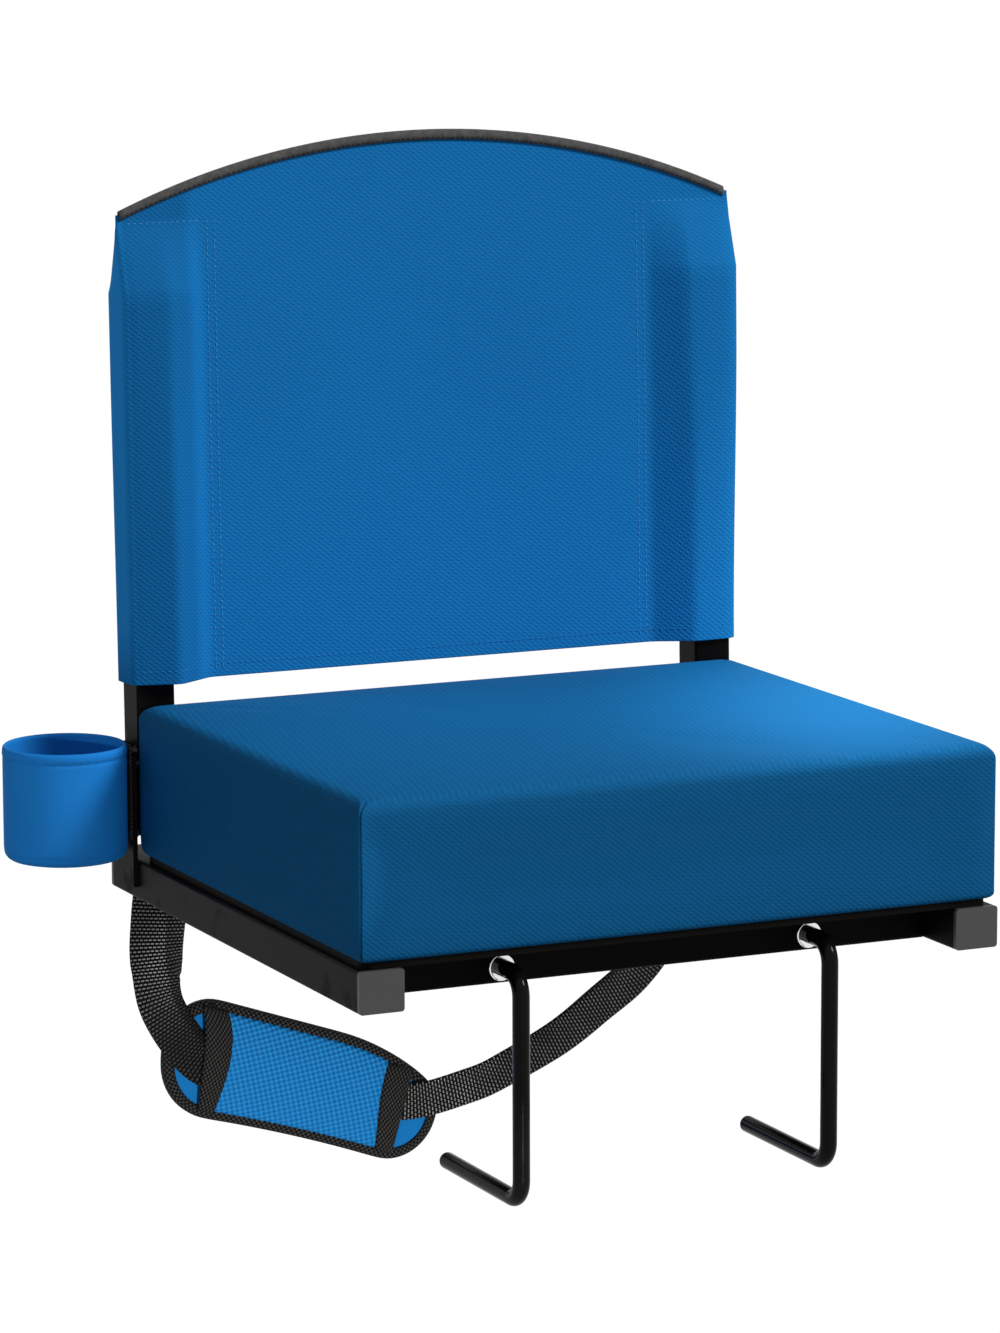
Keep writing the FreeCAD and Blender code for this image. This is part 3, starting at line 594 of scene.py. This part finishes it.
def stitch_row(line, facing, length, gap, width):
    """Separate stitches along a line: each a small grain of thread lying on the cloth."""
    points, faces = [], []
    total = run_lengths(line)
    sides = 6
    place = gap
    while place + length < total[-1]:
        ends = []
        for spot in (place, place + length):
            leg = max(i for i in range(len(total)) if total[i] <= spot)
            leg = min(leg, len(line) - 2)
            ends.append(line[leg].lerp(line[leg + 1], (spot - total[leg]) / (total[leg + 1] - total[leg])))
        along = (ends[1] - ends[0]).normalized()
        up = (facing - along * facing.dot(along)).normalized()
        side = along.cross(up)
        first = len(points)
        points.append(ends[0] - up * width * 0.3)
        for share, size in ((0.22, 0.42), (0.5, 0.5), (0.78, 0.42)):
            middle = ends[0].lerp(ends[1], share)
            for corner in range(sides):
                angle = 2 * math.pi * corner / sides
                offset = side * math.cos(angle) * size + up * (math.sin(angle) * 0.7 * size + 0.12)
                points.append(middle + offset * width)
        points.append(ends[1] - up * width * 0.3)
        last = len(points) - 1
        rings = [first + 1 + sides * i for i in range(3)]
        for corner in range(sides):
            beside = (corner + 1) % sides
            faces.append((first, rings[0] + beside, rings[0] + corner))
            for low, high in zip(rings, rings[1:]):
                faces.append((low + corner, low + beside, high + beside, high + corner))
            faces.append((rings[2] + corner, rings[2] + beside, last))
        place += length + gap
    return points, faces


def add_stitches(name, rows, body, finish, slot, length, gap, width):
    points, faces = [], []
    for line, facing in rows:
        row_points, row_faces = stitch_row(line, facing, length, gap, width)
        faces.extend(tuple(i + len(points) for i in face) for face in row_faces)
        points.extend(row_points)
    return add_piece(name, points, faces, body, finish)


def thread_finish(name, dark, light):
    return one_grain(name, (1800.0, 2.0), dark, light, (0.5, 0.2), 0.0001, Specular_IOR_Level=0.1)


blue_thread = thread_finish("blue_thread", tone(0.04, 0.29, 0.62), tone(0.09, 0.38, 0.74))
front = (back_place.to_3x3() @ Vector((0, -1, 0))).normalized()
thread_lift = 0.0006
skin = panel_y - thread_lift
back_stitch = (0.0027, 0.0013, 0.00075)
rows = []
for side in (-1, 1):
    spots = [[(side * x, hem_z + 0.004 + i * 0.02) for i in range(15)] for x in (0.1446, 0.1495)]
    spots.append([(side * (0.154 + i * 0.006), pocket_top) for i in range(9)])
    rows += [([back_place @ Vector((x, skin + sway(x, z), z)) for x, z in spot], front) for spot in spots]
add_stitches("back_stitches", rows, "backrest", blue_thread, "seat_cloth", *back_stitch)
hem_thread = thread_finish("hem_thread", tone(0.01, 0.17, 0.46), tone(0.025, 0.23, 0.58))
hem_reach, hem_depth = 0.205, 0.008
hem = []
for x, y, behind in route:
    if not behind and abs(x) < hem_reach:
        hem.append(back_place @ Vector((x, y - thread_lift, hem_z + hem_depth)))
add_stitches("hem_stitches", [(hem, front)], "backrest", hem_thread, "seat_cloth", *back_stitch)

# Top binding of the back.
# Grey-brown polyester tape folded over the arched raw edge and sewn through both
# layers with a dark row close to its lower edge.

tape_grey = Finish("grey_binding_tape")
across, along = tape_grey.cloth_place()
rib = (across * (2 * math.pi / 0.0011)).wave() * (along * (2 * math.pi / 0.0013)).wave()
mottle = tape_grey.noise(260.0, 4.0)
tape_grey.set(
    Base_Color=tape_grey.mix(mottle * 0.9 + rib * 0.22, tone(0.035, 0.034, 0.033), tone(0.19, 0.184, 0.177)),
    Roughness=0.72 + mottle * 0.15,
    Normal=tape_grey.bump(rib * 0.6 + mottle, 0.00018),
    Specular_IOR_Level=0.1,
)
tape_height, tape_half = 0.0064, 0.0018
section = [(-tape_height, -tape_half), (-0.0035, -tape_half - 0.00015), (-0.0012, -tape_half),
           (-0.0003, -0.0011), (0.0, 0.0), (-0.0003, 0.0011), (-0.0012, tape_half),
           (-0.0035, tape_half + 0.00015), (-tape_height, tape_half), (-tape_height, 0.0008),
           (-0.0016, 0.0007), (-0.0016, -0.0007), (-tape_height, -0.0008)]
arch_turn = math.asin(arch_half / arch_radius)


def on_arch(angle, radius, y):
    """Point by the arched edge, at an angle from its middle."""
    z = arch_high - arch_radius + radius * math.cos(angle)
    return back_place @ Vector((arch_radius * math.sin(angle), y, z))


steps, tape_step = 96, 0.0016
points, cloth = [], []
for step in range(steps + 1):
    angle = -arch_turn + 2 * arch_turn * step / steps
    for index, (lift, deep) in enumerate(section):
        points.append(on_arch(angle, arch_radius + lift, panel_y + deep))
        cloth.append((arch_radius * angle, index * tape_step))
columns = len(section)
faces = capped_faces(columns, steps + 1)
binding = add_piece("back_binding", points, faces, "backrest", tape_grey, cloth)
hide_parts("back_top_binding")

dark_thread = thread_finish("dark_thread", grey(0.006), tone(0.02, 0.018, 0.017))
binding_stitch = (0.0022, 0.0012, 0.0008)
line = []
steps, sewn_share = 120, 0.985
sewn_radius = arch_radius - tape_height + 0.0009
for step in range(steps + 1):
    angle = (-arch_turn + 2 * arch_turn * step / steps) * sewn_share
    line.append(on_arch(angle, sewn_radius, panel_y - tape_half - 0.0001))
add_stitches("binding_stitches", [(line, front)], "backrest", dark_thread, "binding_tape", *binding_stitch)

# Shoulder strap.
# Black polyester webbing with a pale woven fleck, screwed to both ends of the rear rail;
# it hangs in a loop, folded narrower where it runs over the pad; its fleck carries painted light
# and shade along its length and painted shade beyond the crease.

webbing = Finish("flecked_webbing")
across, along = webbing.cloth_place()
row = along / 0.0023
stagger = across / 0.003 + row.whole() * 0.5
float_row = ((row.part() - 0.5) * (2 * math.pi)).math("COSINE")
float_dash = ((stagger.part() - 0.5) * (2 * math.pi)).math("COSINE")
float_mask = float_row.above(0.2, 0.8) * float_dash.above(-0.75, -0.2)
fade = webbing.noise(70.0, 2.0)
# Painted light and shade along the strap: flecks brightest on its upper left end, dimmer from its lower left
# part over the pad and up the right side.
lit_and_shaded_along = 1.6 - along.above(0.03, 0.13) * 1.45 + along.above(0.22, 0.32) * 0.6
lit_and_shaded_along -= along.above(0.37, 0.5) * 0.4
# Painted shade: flecks dimmed beyond the crease, on the strip that turns away from the light.
crease_shade = across.above(0.0228, 0.0242)
fleck_with_painted_shade = float_mask * (fade * 0.9 + 0.35) * lit_and_shaded_along * (1.0 - crease_shade * 0.65)
webbing.set(
    Base_Color=webbing.mix(fleck_with_painted_shade, grey(0.0035), tone(0.6, 0.59, 0.57)),
    Roughness=0.6 + fade * 0.15,
    Normal=webbing.bump(float_row * 0.5 + float_dash * 0.3, 0.0003),
    Specular_IOR_Level=0.07,
)
strap_y, strap_half, strap_thick = 0.3412, 0.019, 0.0018
pad_turn = math.radians(18.6)
pad_place = Matrix.Translation((-0.0765, 0, -0.1416)) @ Matrix.Rotation(pad_turn, 4, "Y")
strap_ends = [(-0.172, 0.018), (-0.1725, 0.0), (-0.1757, -0.024), (-0.1776, -0.052), (-0.1735, -0.084)]
strap_on_pad = [(-0.072, -0.003), (-0.030, -0.001), (0.020, 0.002), (0.070, 0.002)]
strap_rise = [(0.040, -0.1558), (0.068, -0.1464), (0.105, -0.1297), (0.134, -0.1109), (0.159, -0.0932),
              (0.177, -0.070), (0.181, -0.040), (0.176, -0.010), (0.172, 0.018)]
knots = [Vector((x, strap_y, z)) for x, z in strap_ends]
for s, t in strap_on_pad:
    spot = pad_place @ Vector((s, 0, t))
    knots.append(Vector((spot.x, strap_y, spot.z)))
knots += [Vector((x, strap_y, z)) for x, z in strap_rise]


def smooth_line(knots, step):
    """Evenly spaced points on a smooth curve through the knots."""
    fine = []
    parts = 24
    padded = [2 * knots[0] - knots[1]] + knots + [2 * knots[-1] - knots[-2]]
    for a, b, c, d in zip(padded, padded[1:], padded[2:], padded[3:]):
        for i in range(parts):
            t = i / parts
            fine.append(0.5 * (2 * b + (c - a) * t + (2 * a - 5 * b + 4 * c - d) * t ** 2
                               + (3 * b - a - 3 * c + d) * t ** 3))
    fine.append(knots[-1])
    total = run_lengths(fine)
    count = round(total[-1] / step)
    even, leg = [], 0
    for i in range(count + 1):
        spot = total[-1] * i / count
        while leg < len(fine) - 2 and total[leg + 1] < spot:
            leg += 1
        even.append(fine[leg].lerp(fine[leg + 1], (spot - total[leg]) / (total[leg + 1] - total[leg])))
    return even, total[-1]


line, strap_length = smooth_line(knots, step=0.004)
folds = [(0.0, 0, 0.015), (0.05, 4, 0.015), (0.1, 14, 0.015), (0.12, 22, 0.0135), (0.133, 45, 0.0092),
         (0.1395, 67.5, 0.007), (0.146, 90, 0.0078), (0.166, 174, 0.0088), (0.25, 174, 0.0095),
         (0.46, 174, 0.015), (0.6, 174, 0.0148), (0.75, 174, 0.0125), (0.84, 174, 0.011),
         (0.94, 174, 0.001), (0.96, 0, 0.001), (1.0, 0, 0.001)]
flap_lift, fold_forward = 0.0021, 0.0009
side_sight = 0.48


def fold_at(share):
    """How far the strap's flap is folded back at a share of its length, and how wide the flap is."""
    for (a, *low), (b, *high) in zip(folds, folds[1:]):
        if share <= b:
            turn, flap = (m + (n - m) * (share - a) / (b - a) for m, n in zip(low, high))
            return math.radians(turn), flap


def strap_section(turn, strap_flap):
    """Places across the folded webbing, as (across, to the rear, distance from its outer edge)."""
    strap_main = 2 * strap_half - strap_flap
    seen = max(strap_flap * (math.cos(turn) - side_sight * math.sin(turn)), 0.0)
    crease = -(strap_main - seen) / 2
    places = []
    for share in (0.0, 0.04, 0.25, 0.5, 0.75, 0.93, 1.0):
        places.append((crease + strap_main * (1 - share), 0.0, strap_main * share))
    for share in (0.06, 0.15, 0.35, 0.6, 0.85, 0.96, 1.0):
        reach = strap_flap * share
        lift = flap_lift * (1 - math.cos(turn)) / 2 * min(share / 0.15, 1.0)
        places.append((crease - reach * math.cos(turn), reach * math.sin(turn) + lift, strap_main + reach))
    return places


points, cloth = [], []
rear = Vector((0, 1, 0))
for index, spot in enumerate(line):
    ahead = (line[min(index + 1, len(line) - 1)] - line[max(index - 1, 0)]).normalized()
    share = index / (len(line) - 1)
    turn, flap = fold_at(share)
    across_strap = rear.cross(ahead).normalized()
    forward = fold_forward * (1 - math.cos(turn)) / 2
    places = strap_section(turn, flap)
    fronts, rears = [], []
    for i, (wide, deep, _) in enumerate(places):
        a, b = places[max(i - 1, 0)], places[min(i + 1, len(places) - 1)]
        run = math.hypot(b[0] - a[0], b[1] - a[1])
        normal = across_strap * ((b[1] - a[1]) / run) - rear * ((b[0] - a[0]) / run)
        thick = strap_thick / 2 * (0.6 if i in (0, len(places) - 1) else 1.0)
        middle_spot = spot + across_strap * wide + rear * (deep - forward)
        fronts.append(middle_spot - normal * thick)
        rears.append(middle_spot + normal * thick)
    points += fronts + rears[::-1]
    cloth += [(distance, share * strap_length) for _, _, distance in places + places[::-1]]
columns = 2 * len(places)
faces = capped_faces(columns, len(line))
strap = add_piece("strap_webbing", points, faces, "seat", webbing, cloth)
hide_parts("shoulder_strap")

# Shoulder pad.
# A thin foam pad in smooth blue cloth, bound all round in black tape; the strap runs
# through a tunnel of coarse blue weave whose two ends are bound with slanting bands.


def arc_points(a, b, c, count):
    """Points on the circle through a, b and c, from a to c, without c."""
    d = 2 * (a[0] * (b[1] - c[1]) + b[0] * (c[1] - a[1]) + c[0] * (a[1] - b[1]))
    squares = [p[0] ** 2 + p[1] ** 2 for p in (a, b, c)]
    x = (squares[0] * (b[1] - c[1]) + squares[1] * (c[1] - a[1]) + squares[2] * (a[1] - b[1])) / d
    y = (squares[0] * (c[0] - b[0]) + squares[1] * (a[0] - c[0]) + squares[2] * (b[0] - a[0])) / d
    radius = math.hypot(a[0] - x, a[1] - y)
    start = math.atan2(a[1] - y, a[0] - x)
    sweep = (math.atan2(c[1] - y, c[0] - x) - start) % math.copysign(2 * math.pi, d)
    angles = [start + sweep * i / count for i in range(count)]
    return [(x + radius * math.cos(angle), y + radius * math.sin(angle)) for angle in angles]


straight = 20
pad_outline = (
    [(-0.076 + 0.094 * i / straight, 0.038 - 0.0014 * i / straight) for i in range(straight)]
    + arc_points((0.018, 0.0366), (0.0518, 0.0325), (0.084, 0.0215), 15)
    + arc_points((0.084, 0.0215), (0.0963, 0.0103), (0.0998, -0.006), 9)
    + arc_points((0.0998, -0.006), (0.0916, -0.0264), (0.071, -0.0372), 13)
    + arc_points((0.071, -0.0372), (0.008, -0.0356), (-0.062, -0.0382), 27)
    + arc_points((-0.062, -0.0382), (-0.0865, -0.0285), (-0.099, -0.005), 14)
    + arc_points((-0.099, -0.005), (-0.095, 0.026), (-0.076, 0.038), 14)
)
pad_rim = [Vector((x, 0, z)) for x, z in pad_outline]
for _ in range(3):
    pad_rim = [(pad_rim[i - 1] + 2 * p + pad_rim[(i + 1) % len(pad_rim)]) / 4 for i, p in enumerate(pad_rim)]
rim_inward = []
for i in range(len(pad_rim)):
    ahead = (pad_rim[(i + 1) % len(pad_rim)] - pad_rim[i - 1]).normalized()
    rim_inward.append(Vector((ahead.z, 0, -ahead.x)))
pad_front, pad_rear = 0.3438, 0.3508

pad_blue = one_grain("smooth_pad_cloth", (1400.0, 2.0), tone(0.008, 0.2, 0.58), tone(0.015, 0.26, 0.7),
                     (0.7, 0.1), 0.00012, Specular_IOR_Level=0.06)


def pad_layer(inset, depth):
    back = Vector((0, depth, 0))
    return [pad_place @ (p + inward * inset + back) for p, inward in zip(pad_rim, rim_inward)]


middle = (pad_front + pad_rear) / 2
layers = [pad_layer(inset, depth) for inset, depth in (
    (0.020, pad_front - 0.0004), (0.012, pad_front), (0.006, pad_front + 0.0006),
    (0.0028, pad_front + 0.0016), (0.0016, middle), (0.0028, pad_rear - 0.0016),
    (0.006, pad_rear - 0.0006), (0.012, pad_rear + 0.0004), (0.020, pad_rear + 0.0009))]
points = [p for layer in layers for p in layer]
columns = len(pad_rim)
faces = capped_faces(columns, len(layers))
pad = add_piece("shoulder_pad_base", points, faces, "seat", pad_blue)
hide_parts("shoulder_pad")

pad_tape = Finish("black_pad_tape")
across, along = pad_tape.cloth_place()
rib = (across * (2 * math.pi / 0.0036)).wave() * (along * (2 * math.pi / 0.0026)).wave()
lint = pad_tape.noise(900.0, 4.0)
pad_tape.set(
    Base_Color=pad_tape.mix(lint * 0.5 + rib * 0.95 - 0.06, grey(0.002), tone(0.084, 0.08, 0.076)),
    Roughness=0.7 + lint * 0.15,
    Normal=pad_tape.bump(rib * 0.6 + lint, 0.0002),
    Specular_IOR_Level=0.1,
)
tape_proud = 0.0013
tape_front, tape_rear = pad_front - tape_proud, pad_rear + tape_proud
section = [(0.0072, tape_front + 0.0009), (0.0068, tape_front + 0.0002), (0.004, tape_front),
           (0.0014, tape_front + 0.0006), (0.0, tape_front + 0.0026), (0.0, tape_rear - 0.0026),
           (0.0014, tape_rear - 0.0006), (0.004, tape_rear), (0.0068, tape_rear - 0.0002),
           (0.0072, tape_rear - 0.0009), (0.0040, tape_rear - 0.0011), (0.0022, tape_rear - 0.0014),
           (0.0012, middle), (0.0022, tape_front + 0.0014), (0.0040, tape_front + 0.0011)]
tape_step = 0.002
points, cloth = [], []
for index, (inset, depth) in enumerate(section):
    points.extend(pad_layer(inset, depth))
    cloth.extend((run, index * tape_step) for run in run_lengths(pad_rim))
faces = grid_faces(columns, len(section), True)
last = (len(section) - 1) * columns
faces += [(i, last + i, last + (i + 1) % columns, (i + 1) % columns) for i in range(columns)]
tape = add_piece("pad_edge_tape", points, faces, "seat", pad_tape, cloth)
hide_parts("pad_binding")

coarse_weave = Finish("coarse_blue_weave")
across, along = coarse_weave.cloth_place()
slant = (across * 0.86 + along * 0.5) * (2 * math.pi / 0.0034)
steep = (along * 0.9 - across * 0.44) * (2 * math.pi / 0.0031)
knob = (slant.wave() + steep.wave()) * 0.45
lint = coarse_weave.noise(900.0, 2.0)
lightness = knob * 0.5 + 0.4 + lint * 0.2
coarse_weave.set(
    Base_Color=coarse_weave.mix(lightness, tone(0.005, 0.15, 0.48), tone(0.035, 0.41, 0.98)),
    Roughness=0.62 + lint * 0.1,
    Normal=coarse_weave.bump(knob + lint * 0.2, 0.0006),
    Specular_IOR_Level=0.06,
)


def rim_height(s, upper):
    """Height of the pad's edge at a place along it."""
    side = [p for p in pad_rim if (p.z > 0) == upper]
    near = sorted(side, key=lambda p: abs(p.x - s))[:2]
    return (near[0].z + near[1].z) / 2


def curve_through(knots, t):
    """Place along the pad at height t, on the smooth line through four given (s, t) knots."""
    place = 0.0
    for s, here in knots:
        place += s * math.prod((t - there) / (here - there) for _, there in knots if there != here)
    return place


left_edge = [(-0.067, 0.034), (-0.058, 0.012), (-0.056, -0.0075), (-0.0555, -0.034)]
left_outer = [(-0.085, 0.034), (-0.077, 0.011), (-0.073, -0.008), (-0.066, -0.034)]
right_edge = [(0.056, 0.034), (0.053, 0.010), (0.055, -0.005), (0.063, -0.034)]
right_outer = [(0.071, 0.034), (0.0715, 0.007), (0.072, -0.011), (0.075, -0.034)]
tunnel_skin = 0.3387
tunnel_fullness = 0.45
tunnel_margin, tunnel_tuck = 0.0052, 0.006
points, cloth = [], []
tunnel_columns, tunnel_rows = 46, 25
for row in range(tunnel_rows):
    share = row / (tunnel_rows - 1)
    for column in range(tunnel_columns):
        guess = -0.06 + 0.12 * column / (tunnel_columns - 1)
        low, high = rim_height(guess, False) + tunnel_margin, rim_height(guess, True) - tunnel_margin
        t = low * share + high * (1 - share)
        ends = curve_through(left_edge, t) - tunnel_tuck, curve_through(right_edge, t) + tunnel_tuck
        s = ends[0] + (ends[1] - ends[0]) * column / (tunnel_columns - 1)
        swell = math.sin(math.pi * share) ** tunnel_fullness
        points.append(pad_place @ Vector((s, pad_front - 0.0002 - (pad_front - tunnel_skin) * swell, t)))
        cloth.append((s, t))
faces = grid_faces(tunnel_columns, tunnel_rows)
tunnel = add_piece("pad_tunnel_cloth", points, faces, "seat", coarse_weave, cloth)
thicken(tunnel, 0.0009)
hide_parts("pad_tunnel")

band_rows, band_columns = 25, 9
band_margin, band_ridge = 0.005, 0.0011
for edge, outer, out in ((left_edge, left_outer, -1), (right_edge, right_outer, 1)):
    points, cloth = [], []
    guess = edge[1][0] + out * tunnel_tuck
    low, high = rim_height(guess, False) + band_margin, rim_height(guess, True) - band_margin
    for row in range(band_rows):
        share = row / (band_rows - 1)
        for column in range(band_columns):
            t = low * share + high * (1 - share)
            inner_s = curve_through(edge, t)
            wide = (curve_through(outer, t) - inner_s) * column / (band_columns - 1)
            swell = math.sin(math.pi * share) ** tunnel_fullness
            ridge = band_ridge * math.sin(math.pi * column / (band_columns - 1)) ** 0.5
            depth = pad_front - 0.0009 - (pad_front - tunnel_skin) * swell - ridge
            points.append(pad_place @ Vector((inner_s + wide, depth, t)))
            cloth.append((t, wide))
    faces = grid_faces(band_columns, band_rows)
    if out > 0:
        faces = [tuple(reversed(face)) for face in faces]
    side = "left" if out < 0 else "right"
    band = add_piece("pad_band_" + side, points, faces, "seat", pad_tape, cloth)
    thicken(band, 0.001)
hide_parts("pad_end_bands")

# Cup holder.
# A soft moulded sleeve in smooth blue cloth with a turned hem at the rim and a sewn-in
# floor, held by a black tape tab that is riveted to the left hinge bracket.

sleeve_blue = Finish("smooth_sleeve_cloth")
knit = sleeve_blue.noise(1700.0, 2.0)
shade = sleeve_blue.noise(18.0, 3.0)
sleeve_blue.set(
    Base_Color=sleeve_blue.mix(knit * 0.4 + shade * 0.5, tone(0.010, 0.185, 0.57), tone(0.013, 0.21, 0.63)),
    Roughness=0.66 + knit * 0.12,
    Normal=sleeve_blue.bump(knit + shade, 0.00018),
    Specular_IOR_Level=0.06,
)
low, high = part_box("cup_holder")
cup_centre = (Vector(low) + Vector(high)) / 2
cup_out = 0.0383
cup_low, cup_high = 0.028, 0.0995
profile = [(0.014, cup_low + 0.0003), (0.027, cup_low + 0.0001), (0.0321, cup_low),
           (0.0342, cup_low + 0.0005), (0.0361, cup_low + 0.0017), (0.0374, cup_low + 0.0034),
           (0.0380, cup_low + 0.0050), (0.0376, cup_low + 0.0055), (0.0381, cup_low + 0.0061),
           (cup_out, cup_low + 0.009), (cup_out, cup_low + 0.02), (cup_out, cup_low + 0.04),
           (cup_out, cup_high - 0.0095), (cup_out - 0.0001, cup_high - 0.0074),
           (cup_out - 0.0005, cup_high - 0.0069), (cup_out + 0.0001, cup_high - 0.0063),
           (cup_out + 0.0002, cup_high - 0.003), (cup_out - 0.0002, cup_high - 0.0010),
           (cup_out - 0.0012, cup_high - 0.0001), (cup_out - 0.0021, cup_high - 0.0009),
           (cup_out - 0.0025, cup_high - 0.003), (cup_out - 0.0024, cup_low + 0.03),
           (cup_out - 0.0025, cup_low + 0.006), (cup_out - 0.0045, cup_low + 0.0031),
           (0.02, cup_low + 0.0026)]
turns = 96


def round_cup(radius, turn, z):
    """Point at one of the steps round the cup's axis."""
    angle = 2 * math.pi * turn / turns
    return Vector((cup_centre.x + radius * math.cos(angle), cup_centre.y + radius * math.sin(angle), z))


points = [round_cup(radius, turn, z) for radius, z in profile for turn in range(turns)]
faces = capped_faces(turns, len(profile))
sleeve = add_piece("cup_sleeve", points, faces, "seat", sleeve_blue)
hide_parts("cup_holder")
sewn_radius, sewn_z = cup_out + 0.0002, cup_high - 0.0052
line = [round_cup(sewn_radius, turn, sewn_z) for turn in range(turns + 1)]
rows = []
arc_legs = 4
for start in range(0, turns, arc_legs):
    arc = line[start:start + arc_legs + 1]
    outward = arc[arc_legs // 2] - Vector((cup_centre.x, cup_centre.y, sewn_z))
    rows.append((arc, outward.normalized()))
sleeve_thread = thread_finish("sleeve_thread", tone(0.006, 0.11, 0.33), tone(0.015, 0.16, 0.42))
sleeve_stitch = (0.0026, 0.0014, 0.0006)
add_stitches("sleeve_stitches", rows, "seat", sleeve_thread, "seat_cloth", *sleeve_stitch)

low, high = (Vector(corner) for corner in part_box("cup_hanger"))
points, cloth = [], []
across_steps, up_steps = 12, 18
tab_lip = 0.00025
for layer, x in ((0, low.x), (1, high.x - 0.00005)):
    for row in range(up_steps + 1):
        for column in range(across_steps + 1):
            u, v = column / across_steps, row / up_steps
            y = low.y + (high.y - low.y) * u
            z = low.z + (high.z - low.z) * v
            at_rim = min(column, across_steps - column, row, up_steps - row) == 0
            points.append(Vector((x + (tab_lip if layer == 0 and at_rim else 0.0), y, z)))
            cloth.append((y, z))
wide = across_steps + 1
count = wide * (up_steps + 1)
front_faces = [tuple(reversed(face)) for face in grid_faces(wide, up_steps + 1)]
rear_faces = [tuple(i + count for i in face) for face in grid_faces(wide, up_steps + 1)]
border = list(range(wide)) + [row * wide + wide - 1 for row in range(1, up_steps + 1)]
border += [up_steps * wide + i for i in range(wide - 2, -1, -1)]
border += [row * wide for row in range(up_steps - 1, 0, -1)]
edge_faces = [(a, b, b + count, a + count) for a, b in zip(border, border[1:] + border[:1])]
faces = front_faces + rear_faces + edge_faces
tab = add_piece("cup_tab", points, faces, "seat", pad_tape, cloth)
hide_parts("cup_hanger")

# Studio.
# White surround and a pale floor below the seat; one soft sun from the right in front, two
# small lamps over the cushion, one from the left rear, narrow ones for the cup holder and
# the pad, and the camera of the photograph.

scene = bpy.context.scene
scene.view_settings.view_transform = "Standard"
scene.world = bpy.data.worlds.new("white_surround")
surround = Finish("white_surround", scene.world)


def seen_ray(finish):
    """1 for rays that show the background itself, in the picture or in gloss."""
    kinds = ("Is Camera Ray", "Is Glossy Ray", "Is Transmission Ray")
    camera_ray, glossy_ray, clear_ray = (finish.node("ShaderNodeLightPath", output=kind) for kind in kinds)
    return camera_ray.math("MAXIMUM", glossy_ray).math("MAXIMUM", clear_ray)


surround.set(Color=surround.mix(seen_ray(surround), grey(0.25), grey(1.0)), Strength=1.0)

floor_mesh = bpy.data.meshes.new("floor")
floor_size, floor_z = 6.0, -0.45
floor_corners = [(x * floor_size, y * floor_size, floor_z) for x, y in ((-1, -1), (1, -1), (1, 1), (-1, 1))]
floor_mesh.from_pydata(floor_corners, [], [(0, 1, 2, 3)])
floor = bpy.data.objects.new("floor", floor_mesh)
bpy.context.collection.objects.link(floor)
pale = Finish("pale_floor")
pale.set(
    Base_Color=grey(0.34),
    Roughness=0.9,
    Specular_IOR_Level=0.0,
    Emission_Color=pale.mix(seen_ray(pale), grey(0.0), grey(0.75)),
    Emission_Strength=1.0,
)
floor_mesh.materials.append(pale.material)


def add_lamp(kind, name, place, aim, power, **settings):
    lamp = bpy.data.lights.new(name, kind)
    lamp.energy = power
    for key, value in settings.items():
        setattr(lamp, key, value)
    holder = bpy.data.objects.new(name, lamp)
    bpy.context.collection.objects.link(holder)
    holder.location = place
    holder.rotation_euler = (Vector(aim) - Vector(place)).to_track_quat("-Z", "Y").to_euler()
    holder.visible_camera = False
    return holder


add_lamp("SUN", "key_sun", (1.1, -0.89, 1.45), (0.0, 0.15, 0.15), 2.55, angle=0.3)
add_lamp("AREA", "top_lamp", (0.0, 0.1, 0.37), (0.0, 0.1, 0.1), 0.13, shape="RECTANGLE", size=0.4, size_y=0.3,
         spread=math.radians(100))
side_lamp = add_lamp("AREA", "side_lamp", (0.195, 0.1, 0.372), (0.195, 0.1, 0.1), 0.28, shape="RECTANGLE",
                     size=0.08, size_y=0.34, spread=math.radians(72))
side_lamp.rotation_euler = (0, 0, -math.radians(25))
add_lamp("SPOT", "rim_lamp", (-1.0, 0.5, 0.55), (-0.21, 0.315, 0.29), 8.0, spot_size=0.36, spot_blend=0.6)
add_lamp("SPOT", "cup_lamp", (-0.28, -1.6, 0.14), (-0.2491, 0.3, 0.065), 27.0, spot_size=0.09, spot_blend=0.5)
add_lamp("SPOT", "cup_side_lamp", (-1.5, -0.3, 0.2), (-0.268, 0.305, 0.065), 13.0, spot_size=0.075,
         spot_blend=0.6)
add_lamp("SPOT", "pad_lamp", (-0.2, -1.5, -0.36), (-0.08, 0.34, -0.14), 70.0, spot_size=0.17, spot_blend=0.5)

camera_data = bpy.data.cameras.new("camera")
camera = bpy.data.objects.new("camera", camera_data)
bpy.context.collection.objects.link(camera)
focal_pixels, frame_pixels = 5499, 1333
camera_data.sensor_width = 36.0
camera_data.lens = focal_pixels / frame_pixels * camera_data.sensor_width
right = Vector((0.90688, -0.42139, -0.00248))
ahead = Vector((0.41485, 0.89382, -0.17028))
up = right.cross(ahead)
camera.matrix_world = Matrix((
    (right.x, up.x, -ahead.x, -1.4084),
    (right.y, up.y, -ahead.y, -2.8281),
    (right.z, up.z, -ahead.z, 0.7230),
    (0, 0, 0, 1),
))
scene.camera = camera
